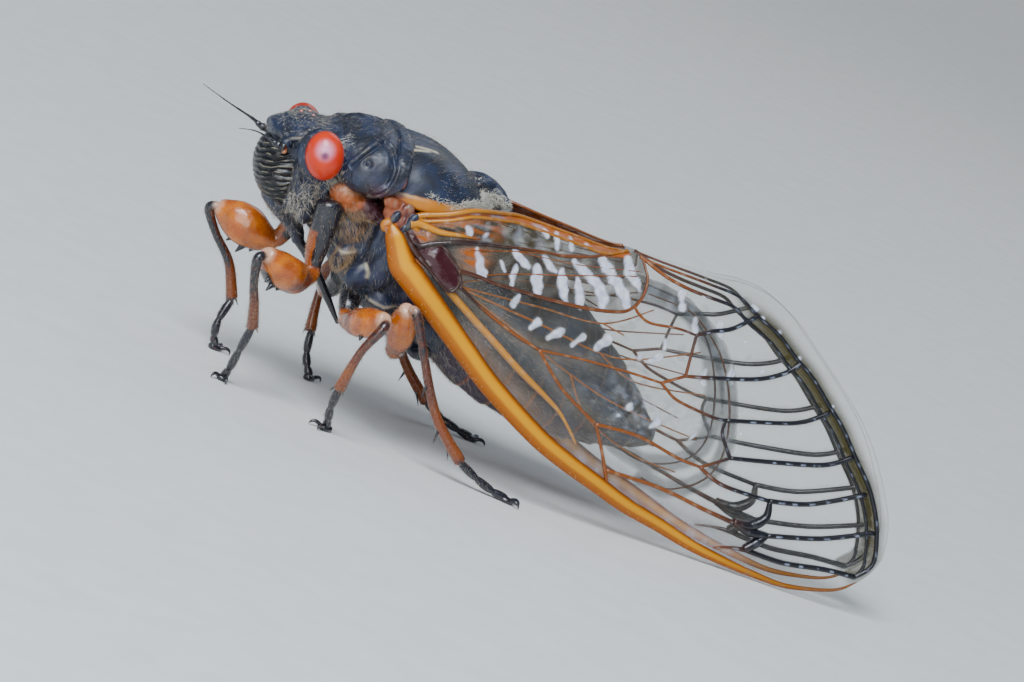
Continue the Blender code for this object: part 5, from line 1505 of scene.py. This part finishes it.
# legs
legPlaces = {
    "fore_left": {
        "hip": [(1.65, -3.2, -2.6), (1.85, -3.3, -4.4), (2.05, -3.35, -5.9), (2.3, -3.45, -6.75)],
        "thigh": [(2.3, -3.5, -6.8), (1.25, -4.4, -7.0), (0.35, -5.15, -6.9), (-0.5, -5.75, -6.55),
                  (-1.35, -6.35, -6.1)],
        "spines": [((0.0, -5.5, -7.4), (-0.49, -6.0, -8.1)), ((-0.35, -5.7, -7.0), (-0.8, -6.2, -7.65)),
                   ((0.45, -5.2, -7.5), (0.15, -5.6, -7.95))],
        "shin": [(-1.5, -6.5, -6.15), (-1.85, -6.75, -6.5), (-1.4, -6.45, -7.9), (-0.75, -5.85, -9.1),
                 (-0.12, -5.1, -10.45)],
        "foot": [(-0.1, -5.0, -10.65), (-0.1, -4.5, -12.2), (-0.05, -3.9, -13.5), (-0.1, -3.6, -14.05)],
        "toe": (-0.3, -0.6)},
    "fore_right": {
        "hip": [(1.65, 3.2, -2.6), (1.7, 3.3, -4.4), (1.5, 3.3, -6.0), (1.2, 3.3, -6.8)],
        "thigh": [(1.25, 3.25, -6.85), (0.35, 3.6, -6.85), (-0.5, 3.9, -6.7), (-1.4, 4.2, -6.5),
                  (-2.35, 4.5, -6.3)],
        "spines": [((-0.2, 3.8, -7.5), (-0.63, 3.8, -8.35)), ((-0.8, 4.0, -7.3), (-1.35, 4.05, -7.95)),
                   ((0.3, 3.7, -7.5), (0.1, 3.7, -8.0))],
        "shin": [(-2.5, 4.6, -6.3), (-2.85, 4.8, -6.7), (-1.9, 4.75, -7.9), (-0.5, 4.7, -9.2),
                 (0.48, 4.5, -11.05)],
        "foot": [(0.5, 4.45, -11.25), (0.2, 4.1, -12.5), (0.35, 4.1, -13.5), (0.7, 4.3, -14.05)],
        "toe": (0.7, 0.3)},
    "mid_left": {
        "hip": [(5.3, -1.7, -7.0), (5.3, -2.6, -8.0), (5.2, -3.4, -8.5)],
        "thigh": [(5.2, -3.3, -8.5), (5.5, -4.8, -8.1), (5.85, -6.2, -7.55), (6.2, -7.5, -6.95)],
        "spines": [((5.75, -5.9, -8.2), (5.65, -6.3, -8.75))],
        "shin": [(6.25, -7.8, -6.95), (6.1, -8.15, -7.35), (5.55, -8.1, -8.9), (5.4, -7.9, -10.3),
                 (5.4, -7.55, -11.5)],
        "foot": [(5.4, -7.5, -11.65), (5.5, -7.15, -12.8), (5.75, -6.8, -13.6), (5.9, -6.5, -14.05)],
        "toe": (-0.7, -0.3)},
    "mid_right": {
        "hip": [(5.3, 1.7, -7.0), (5.3, 2.6, -8.0), (5.2, 3.4, -8.5)],
        "thigh": [(5.2, 3.3, -8.5), (5.5, 4.7, -8.1), (5.85, 5.9, -7.6), (6.2, 7.1, -7.0)],
        "spines": [((5.75, 5.7, -8.2), (5.65, 6.1, -8.75))],
        "shin": [(6.25, 7.35, -7.0), (6.2, 7.65, -7.4), (6.0, 7.6, -8.9), (6.1, 7.3, -10.3),
                 (6.3, 7.0, -11.55)],
        "foot": [(6.38, 6.95, -11.75), (6.6, 6.7, -12.9), (6.9, 6.4, -13.6), (7.2, 6.2, -14.05)],
        "toe": (0.4, 0.6)},
    "hind_left": {
        "hip": [(8.9, -2.0, -8.5), (8.8, -2.8, -9.1), (8.5, -3.6, -9.0)],
        "thigh": [(8.45, -3.5, -9.0), (8.2, -4.7, -8.1), (7.8, -5.6, -7.0), (7.45, -6.45, -6.05)],
        "spines": [],
        "shin": [(7.55, -6.8, -5.85), (7.9, -7.15, -6.0), (8.7, -7.25, -7.2), (11.3, -7.15, -10.9),
                 (13.85, -7.0, -13.0)],
        "foot": [(14.0, -7.0, -13.1), (15.2, -7.0, -13.6), (16.4, -7.0, -13.95), (17.3, -7.0, -14.05)],
        "toe": (0.9, -0.25)},
    "hind_right": {
        "hip": [(8.9, 2.0, -8.5), (8.8, 2.8, -9.1), (8.7, 3.6, -9.0)],
        "thigh": [(8.7, 3.5, -9.0), (8.6, 4.7, -8.1), (8.5, 5.6, -7.1), (8.4, 6.45, -6.25)],
        "spines": [],
        "shin": [(8.45, 6.8, -6.05), (8.8, 7.1, -6.25), (9.6, 7.2, -7.4), (12.2, 7.1, -11.0),
                 (14.65, 7.0, -13.05)],
        "foot": [(14.8, 7.0, -13.15), (16.0, 7.0, -13.65), (17.2, 7.0, -13.95), (18.1, 7.0, -14.05)],
        "toe": (0.9, 0.25)}}
floorLevel = -14.3
legSizes = {
    "hip": [(0.8, 0.85), (0.72, 0.75), (0.52, 0.54), (0.42, 0.42)],
    "foreThigh": [(0.42, 0.42), (0.95, 0.82), (1.25, 1.0), (1.1, 0.9), (0.55, 0.5)],
    "thigh": [(0.42, 0.42), (0.8, 0.7), (0.86, 0.76), (0.5, 0.46)],
    "shin": [(0.24, 0.26), (0.3, 0.3), (0.25, 0.24), (0.29, 0.28), (0.36, 0.34)],
    "spurs": [(0.25, 0.1, 0), (-0.25, 0.1, 0), (0.0, -0.28, 0)],
    "hindSpines": [((10.1, 7.2, -9.25), (10.05, 7.6, -10.3)), ((11.9, 7.1, -11.45), (11.8, 7.5, -12.5)),
                   ((12.6, 7.1, -12.0), (13.3, 6.5, -13.3))],
    "foot": 0.2,
    "sole": ((0.22, 0.26), (0.22, 0.36), (0.14, 0.26)),
    # each point's distance ahead of the pad, to the side and up
    "clawPath": ((0.2, 0.12, 0), (0.58, 0.34, 0.16), (0.82, 0.44, 0.06), (0.9, 0.46, -0.12)),
    "claw": (0.13, 0.11, 0.07, 0.015),
    "voxel": 0.06, "smooth": 6}


def horn(root, tip, size, around=8, bend=(0, 0, 0)):
    root, tip = np.array(root, float), np.array(tip, float)
    middle = 0.5 * (root + tip) + np.array(bend)
    return rod([root, middle, tip], (size, 0.62 * size, 0.12 * size), around, (1, 0.2, 0.1), 4, caps=False)


def makeThigh(name, leg):
    # the hip and the thigh grow together, and the hip is mostly dark
    s = legSizes
    fore = name.startswith("fore")
    thigh = rod(leg["thigh"], s["foreThigh" if fore else "thigh"], 28, (1, 1, 0), 8)
    hip = rod(leg["hip"], s["hip"][-len(leg["hip"]):], 24, (1, 0, 0), 8)
    femur = fuse("femur", [loft("thigh", [thigh]), loft("hip", [hip])], s["voxel"], s["smooth"])
    co = spots(femur)
    onThigh = slope(lineGap(co, leg["hip"]) - lineGap(co, leg["thigh"]), -0.5, 0.1)
    onHip = 1 - onThigh
    toKnee = apart(co, leg["thigh"][-1])
    push(femur, ripple(co, 1.2, 91) * 0.018 + ripple(co, 0.35, 92) * 0.004)
    under = slope(lineGap(co, [np.array(p) - (0, 0, 1.0) for p in leg["thigh"]]) * -1, -0.62, -0.2)
    joint = bell(apart(co, leg["hip"][-1]), 0.5)
    rear = 0.92
    if fore:
        facing = outward(femur)[:, 0] + 0.1 * ripple(co, 0.9, 95)
        rear = np.maximum(slope(facing, -0.55, -0.2), slope(co[:, 2], -4.6, -3.9))
    rims = onThigh * under * (0.75 if fore else 0.25) * slope(toKnee, 0.6, 1.2)
    paint(femur, "paleAndHighlight", np.clip(slope(-toKnee, -0.85, -0.3) * 0.9 + 0.55 * joint, 0, 1))
    paint(femur, "dark", np.clip(onHip * rear * (1 - joint) + rims, 0, 1))
    mottle = 0.45 * onThigh * slope(toKnee, 1.8, 3.4)
    paint(femur, "brown", np.clip(onHip * 0.5 + mottle + 0.25 * onThigh * ripple(co, 1.1, 96), 0, 1))
    pieces = [femur]
    if leg["spines"]:
        spines = loft("spines", [horn(root, tip, 0.3) for root, tip in leg["spines"]])
        paint(spines, "dark", np.ones(len(spines.data.vertices)))
        pieces.append(spines)
    only(*pieces)
    if len(pieces) > 1:
        bpy.ops.object.join()
    settle(femur, "thigh_" + name, legOrange, ["femur_" + name])


def makeShin(name, leg):
    s = legSizes
    around = 20
    rings = [rod(leg["shin"], s["shin"], around, (0, 1, 0), 12)]
    end = np.array(leg["shin"][-1])
    down = unit(end - np.array(leg["shin"][-2]))
    for side in s["spurs"]:
        root = end + np.array(side) * 0.9 - down * 0.1
        rings.append(horn(root, root + down * 0.5 + np.array(side) * 0.7, 0.075))
    if name.startswith("hind"):
        # the right hind leg stands a little further back
        turn = np.array((1, -1 if name.endswith("left") else 1, 1))
        shift = np.array((0, 0, 0) if name.endswith("left") else (0.9, 0, -0.1))
        for root, tip in s["hindSpines"]:
            rings.append(horn(root * turn + shift, tip * turn + shift, 0.12))
    shin = loft("shin", rings)
    run = painted(shin, "run")
    count = len(rings[0]) * around
    t = np.ones(len(run))
    t[:count] = run[:count] / run[:count].max()
    co = spots(shin)
    if name == "fore_right":
        dark = slope(-t, -0.86, -0.5) * slope(-outward(shin)[:, 0], -0.5, 0.25)
    elif name.startswith("fore"):
        dark = 0.75 * slope(-t, -0.7, -0.3)
    else:
        dark = 0.5 * slope(-t, -0.6, -0.2)
    dark = np.clip(dark + 0.5 * slope(t, 0.93, 1.0) + 0.18 * ripple(co, 0.35, 93), 0, 1)
    dark[count + 2:] = 1.0
    paint(shin, "dark", dark)
    fade = 0.25 if name.startswith("fore") else 0.35
    paint(shin, "brown", np.clip(1.1 - fade * slope(t, 0.4, 0.75), 0, 1))
    paint(shin, "paleAndHighlight", 0.75 * slope(-t, -0.10, -0.02))
    settle(shin, "shin_" + name, legOrange, ["tibia_" + name])


def makeFoot(name, leg):
    # three joints, a pad and two claws
    s = legSizes
    path = smoothLine(leg["foot"], 10)
    t = np.linspace(0, 1, len(path))
    size = s["foot"] + 0.055 * np.abs(np.sin(np.pi * np.clip(t * 3, 0, 3)))
    for joint in (0.33, 0.67):
        size = size - 0.03 * bell(t - joint, 0.03)
    ahead = unit(np.array((leg["toe"][0], leg["toe"][1], 0.0)))
    beside = np.array((-ahead[1], ahead[0], 0))
    pad = np.array((path[-1][0], path[-1][1], floorLevel + 0.16))
    sole = [pad - ahead * 0.28, pad + ahead * 0.1, pad + ahead * 0.42]
    rings = [sweep(np.column_stack([path, size, size]), 16, (0, 1, 0)), rod(sole, s["sole"], 16, beside, 5)]
    for way in (-1, 1):
        claw = [pad + ahead * far + beside * out * way + (0, 0, lift) for far, out, lift in s["clawPath"]]
        rings.append(rod(claw, s["claw"], 12, beside, 6))
    foot = loft("foot", rings)
    co = spots(foot)
    co[:, 2] = np.maximum(co[:, 2], floorLevel)
    foot.data.vertices.foreach_set("co", co.ravel())
    paint(foot, "dark", np.clip(0.85 + 0.2 * ripple(co, 0.4, 94), 0, 1))
    paint(foot, "brown", np.ones(len(co)))
    settle(foot, "foot_" + name, legOrange, ["tarsus_" + name])


print("cicada: legs")
for legName, legPlace in legPlaces.items():
    makeThigh(legName, legPlace)
    makeShin(legName, legPlace)
    makeFoot(legName, legPlace)


# the coat of hair
def rootsIn(boxes):
    # where hair grows: inside any of the ellipsoids (middle, half sizes, strength), on both sides
    def where(co):
        flat = oneSide(co)
        value = np.zeros(len(co))
        for middle, sizes, strength in boxes:
            gap = apart(flat, middle, sizes)
            value = np.maximum(value, strength * slope(-gap, -1.15, -0.7))
        return value
    return where


print("cicada: hair")
coat("hair_head", [
    (head, {
        "count": 1500, "seed": 1, "length": 0.3, "width": 0.009, "lift": 0.45, "lie": downBack, "gold": 0.1,
        "where": lambda co: 0.25 + rootsIn([
            ((-0.2, 2.8, -2.6), (1.2, 1.2, 2.0), 1.6), ((-1.0, 0, 1.6), (1.6, 2.4, 0.8), 0.7)])(co)}),
    (head, {
        "count": 700, "seed": 2, "levels": 3, "length": 0.5, "width": 0.012, "lift": 0.6, "lie": backwards,
        "gold": 0.1, "white": 0.8,
        "where": rootsIn([((0.95, 3.1, 0.2), (0.45, 1.0, 2.2), 1.0)])}),
    (head, {
        "count": 520, "seed": 31, "levels": 3, "length": 0.42, "width": 0.013, "lift": 0.55, "lie": downBack,
        "stray": 0.8, "gold": 0.3, "white": 0.45,
        "where": rootsIn([
            ((0.5, 2.9, -2.3), (0.8, 1.1, 0.7), 1.0), ((0.0, 2.4, -3.5), (0.8, 1.2, 1.0), 0.6)])}),
    (head, {
        "count": 560, "seed": 35, "length": 0.16, "width": 0.009, "lift": 0.4, "lie": backwards,
        "stray": 0.9, "gold": 0.15, "white": 0.45,
        "where": rootsIn([((-1.3, 1.4, 0.9), (2.0, 1.9, 0.9), 1.0)])}),
    (head, {
        "count": 300, "seed": 37, "length": 0.3, "width": 0.009, "lift": 0.5, "lie": downBack,
        "stray": 0.7, "gold": 0.35, "white": 0.3,
        "where": rootsIn([((0.0, 0.5, -4.6), (1.5, 1.2, 1.1), 1.0)])}),
    (shield, {
        "count": 160, "seed": 3, "length": 0.2, "width": 0.007, "lift": 0.6, "lie": downBack,
        "gold": 0.1, "dark": 0.6,
        "where": lambda co: np.ones(len(co))}),
    (beak, {
        "count": 460, "seed": 4, "length": 0.24, "width": 0.009, "lift": 0.5, "lie": downBack,
        "stray": 0.5, "gold": 0.3, "white": 0.25,
        "where": lambda co: 0.12 + slope(co[:, 2], -7.2, -5.2)})])
coat("hair_back", [
    (pronotum, {
        "count": 1300, "seed": 5, "length": 0.2, "width": 0.007, "lift": 0.35, "lie": backwards,
        "gold": 0.15, "dark": 0.35,
        "where": lambda co: 0.35 + slope(-co[:, 0], -1.6, -1.0) * 2 + slope(-co[:, 2], 0.2, 1.2)}),
    (pronotum, {
        "count": 420, "seed": 36, "length": 0.3, "width": 0.01, "lift": 0.55, "lie": downBack,
        "stray": 0.7, "gold": 0.5, "white": 0.3,
        "where": lambda co: slope(-co[:, 0], -1.9, -1.2) * slope(-co[:, 2], -0.9, 0.1)}),
    (mesonotum, {
        "count": 500, "seed": 6, "length": 0.15, "width": 0.006, "lift": 0.3, "lie": backwards,
        "gold": 0.1, "dark": 0.3,
        "where": lambda co: 1.0 * (co[:, 2] > 0) * (co[:, 0] < 10)}),
    (mesonotum, {
        "count": 420, "seed": 32, "length": 0.11, "width": 0.011, "lift": 0.25, "lie": backwards,
        "gold": 0.0, "white": 0.8,
        "where": rootsIn([
            ((8.6, 3.5, 1.0), (1.9, 1.3, 1.0), 1.0), ((9.6, 2.0, 1.6), (1.0, 1.2, 0.7), 0.6)])}),
    (mesonotum, {
        "count": 260, "seed": 33, "levels": 3, "length": 0.38, "width": 0.006, "lift": 0.7, "lie": backwards,
        "stray": 0.5, "gold": 0.4,
        "where": lambda co: 1.0 * (co[:, 2] > 1.2)}),
    (pronotum, {
        "count": 240, "seed": 34, "levels": 3, "length": 0.36, "width": 0.006, "lift": 0.7, "lie": backwards,
        "stray": 0.5, "gold": 0.4,
        "where": lambda co: 1.0 * (co[:, 2] > 1.2)}),
    (mesonotum, {
        "count": 4400, "seed": 7, "length": 0.22, "width": 0.02, "lift": 0.6, "lie": backwards,
        "stray": 1.4, "gold": 0.1, "white": 0.75,
        "where": rootsIn([
            ((9.6, 3.2, 0.35), (1.6, 1.3, 0.4), 1.0), ((7.6, 4.3, 0.2), (1.6, 0.6, 0.18), 0.25),
            ((11.0, 1.6, 0.8), (1.3, 1.1, 0.7), 1.2), ((10.6, 0.0, 1.2), (0.9, 0.8, 0.5), 0.3)])})])
coat("hair_side", [
    (thorax, {
        "count": 4200, "seed": 8, "length": 0.38, "width": 0.008, "lift": 0.45, "lie": downBack, "gold": 0.12,
        "where": lambda co: np.clip(0.8 - bell(apart(oneSide(co), (4.9, 3.5, -5.75)), 0.9), 0, 1)}),
    (thorax, {
        "count": 3000, "seed": 9, "levels": 3, "length": 0.36, "width": 0.006, "lift": 0.4, "lie": downBack,
        "gold": 0.7,
        "where": rootsIn([
            ((3.2, 3.0, -3.0), (1.3, 1.3, 1.2), 1.0), ((3.6, 2.8, -5.3), (0.7, 1.0, 1.3), 0.8)])})])
coat("hair_abdomen", [
    (abdomen, {
        "count": 2600, "seed": 10, "levels": 3, "length": 0.36, "width": 0.012, "lift": 0.5, "lie": backwards,
        "stray": 0.8, "gold": 0.25, "white": 0.5,
        "where": lambda co: slope(-co[:, 0], -14.8, -12.5) * (0.25 + slope(co[:, 2], -4.5, -2.0))}),
    (abdomen, {
        "count": 5200, "seed": 11, "length": 0.26, "width": 0.007, "lift": 0.4, "lie": backwards,
        "gold": 0.3, "dark": 0.1,
        "where": lambda co: 0.3 + slope(-co[:, 2], 4.5, 7.5)})])
legHair = {
    "all": {"width": 0.008, "lift": 0.5, "lie": downwards},
    "parts": {
        "thigh": {"count": 420, "length": 0.22, "gold": 0.45},
        "shin": {"count": 320, "length": 0.24, "gold": 0.45, "dark": 0.35},
        "foot": {"count": 140, "length": 0.2, "dark": 0.35}}}


def coatLegs():
    # grown on copies, because the limbs are already in the frame
    jobs, copies = [], []
    for index, (name, leg) in enumerate(legPlaces.items()):
        for part, kind in legHair["parts"].items():
            limb = bpy.data.objects[part + "_" + name]
            twin = linked(limb.copy())
            twin.data = limb.data.copy()
            twin.data.transform(toFrame.inverted())
            twin.parent = None
            copies.append(twin)
            if part == "thigh" and "run" in twin.data.attributes:
                twin.data.attributes.remove(twin.data.attributes["run"])

            def where(co, hip=leg["hip"], bush=1.5 * (part == "thigh")):
                # bushier on the hips, and no hair so low on the feet that its tip would pass the floor
                above = slope(co[:, 2], floorLevel + 0.35, floorLevel + 0.6)
                return (0.25 + bush * slope(-lineGap(co, hip), -0.95, -0.6)) * above
            jobs.append((twin, {**legHair["all"], **kind, "seed": 20 + index, "where": where}))
    coat("hair_legs", jobs)
    for twin in copies:
        bpy.data.objects.remove(twin)


coatLegs()
print("cicada: settle the body")
settle(head, "head_skin", shell, ["head"])
settle(shield, "face_ridges", faceShell, ["face_shield"])
settle(pronotum, "pronotum_skin", shell, ["pronotum"])
settle(mesonotum, "mesonotum_skin", shell, ["mesonotum"])
settle(thorax, "thorax_skin", shell, ["thorax", "prothorax"])
settle(abdomen, "abdomen_skin", shell, ["abdomen"])


# stage, light and camera
room = {"colour": (0.70, 0.83, 1.0, 1), "strength": 0.29, "floor": 8}


def makeStage():
    only()
    bpy.ops.mesh.primitive_plane_add(size=room["floor"], location=(0, 0, 0))
    ground = bpy.context.active_object
    ground.name = "ground"
    look = Finish("paleGround", {"Roughness": 0.75, "Specular IOR Level": 0.2})
    grain = look.place.noise(0.35, 4)
    colour = grain.rise(0.2, 0.8).blend((0.79, 0.80, 0.78), (0.85, 0.855, 0.835))
    look.wire({"Base Color": colour, "Normal": grain.bump(0.00002)})
    ground.data.materials.append(look.material)
    world = bpy.data.worlds.new("softRoom")
    world.use_nodes = True
    light = world.node_tree.nodes["Background"].inputs
    light["Color"].default_value = room["colour"]
    light["Strength"].default_value = room["strength"]
    bpy.context.scene.world = world


lightsAim = (12, 0, -4)
lights = {
    "sun": {"at": (-150, -190, 300), "size": 0.5, "power": 1.38, "colour": (1.0, 0.965, 0.9), "kind": "SUN"},
    "key": {"at": (-110, -190, 250), "size": 0.2, "power": 0.95, "colour": (0.74, 0.86, 1.0), "kind": "AREA"},
    "front": {"at": (-150, -270, 80), "size": 0.16, "power": 0.3, "colour": (1.0, 0.97, 0.96), "kind": "AREA"},
    "rim": {"at": (120, 220, 240), "size": 0.2, "power": 0.12, "colour": (0.92, 0.96, 1.0), "kind": "AREA"}}


def makeLights():
    for name, s in lights.items():
        data = bpy.data.lights.new(name, s["kind"])
        if s["kind"] == "AREA":
            data.shape = "DISK"
            data.size = s["size"]
        else:
            data.angle = s["size"]
        data.energy = s["power"]
        data.color = s["colour"]
        lamp = linked(bpy.data.objects.new(name, data))
        lamp.location = toFrame @ Vector(s["at"])
        aim = toFrame @ Vector(lightsAim) - lamp.location
        lamp.rotation_euler = aim.to_track_quat("-Z", "Y").to_euler()


# angles in degrees, the focal length for this width of the sensor
photoCamera = {
    "azimuth": -17, "height": 9, "roll": 24.5, "lens": 185.625, "sensor": 36,
    "at": (-73.45, -292.13, 41.84)}


def makeCamera():
    azimuth, height, roll = (math.radians(photoCamera[key]) for key in ("azimuth", "height", "roll"))
    level = math.cos(height)
    back = Vector((math.sin(azimuth) * level, -math.cos(azimuth) * level, math.sin(height)))
    flatRight = Vector((math.cos(azimuth), math.sin(azimuth), 0))
    flatUp = back.cross(flatRight)
    right = math.cos(roll) * flatRight + math.sin(roll) * flatUp
    up = -math.sin(roll) * flatRight + math.cos(roll) * flatUp
    turn = Matrix((right, up, back)).transposed().to_4x4()
    data = bpy.data.cameras.new("photoView")
    data.sensor_width = photoCamera["sensor"]
    data.lens = photoCamera["lens"]
    data.clip_start = 0.01
    camera = linked(bpy.data.objects.new("photoView", data))
    camera.matrix_world = Matrix.Translation(toFrame @ Vector(photoCamera["at"])) @ turn
    bpy.context.scene.camera = camera


print("cicada: stage")
makeStage()
makeLights()
makeCamera()
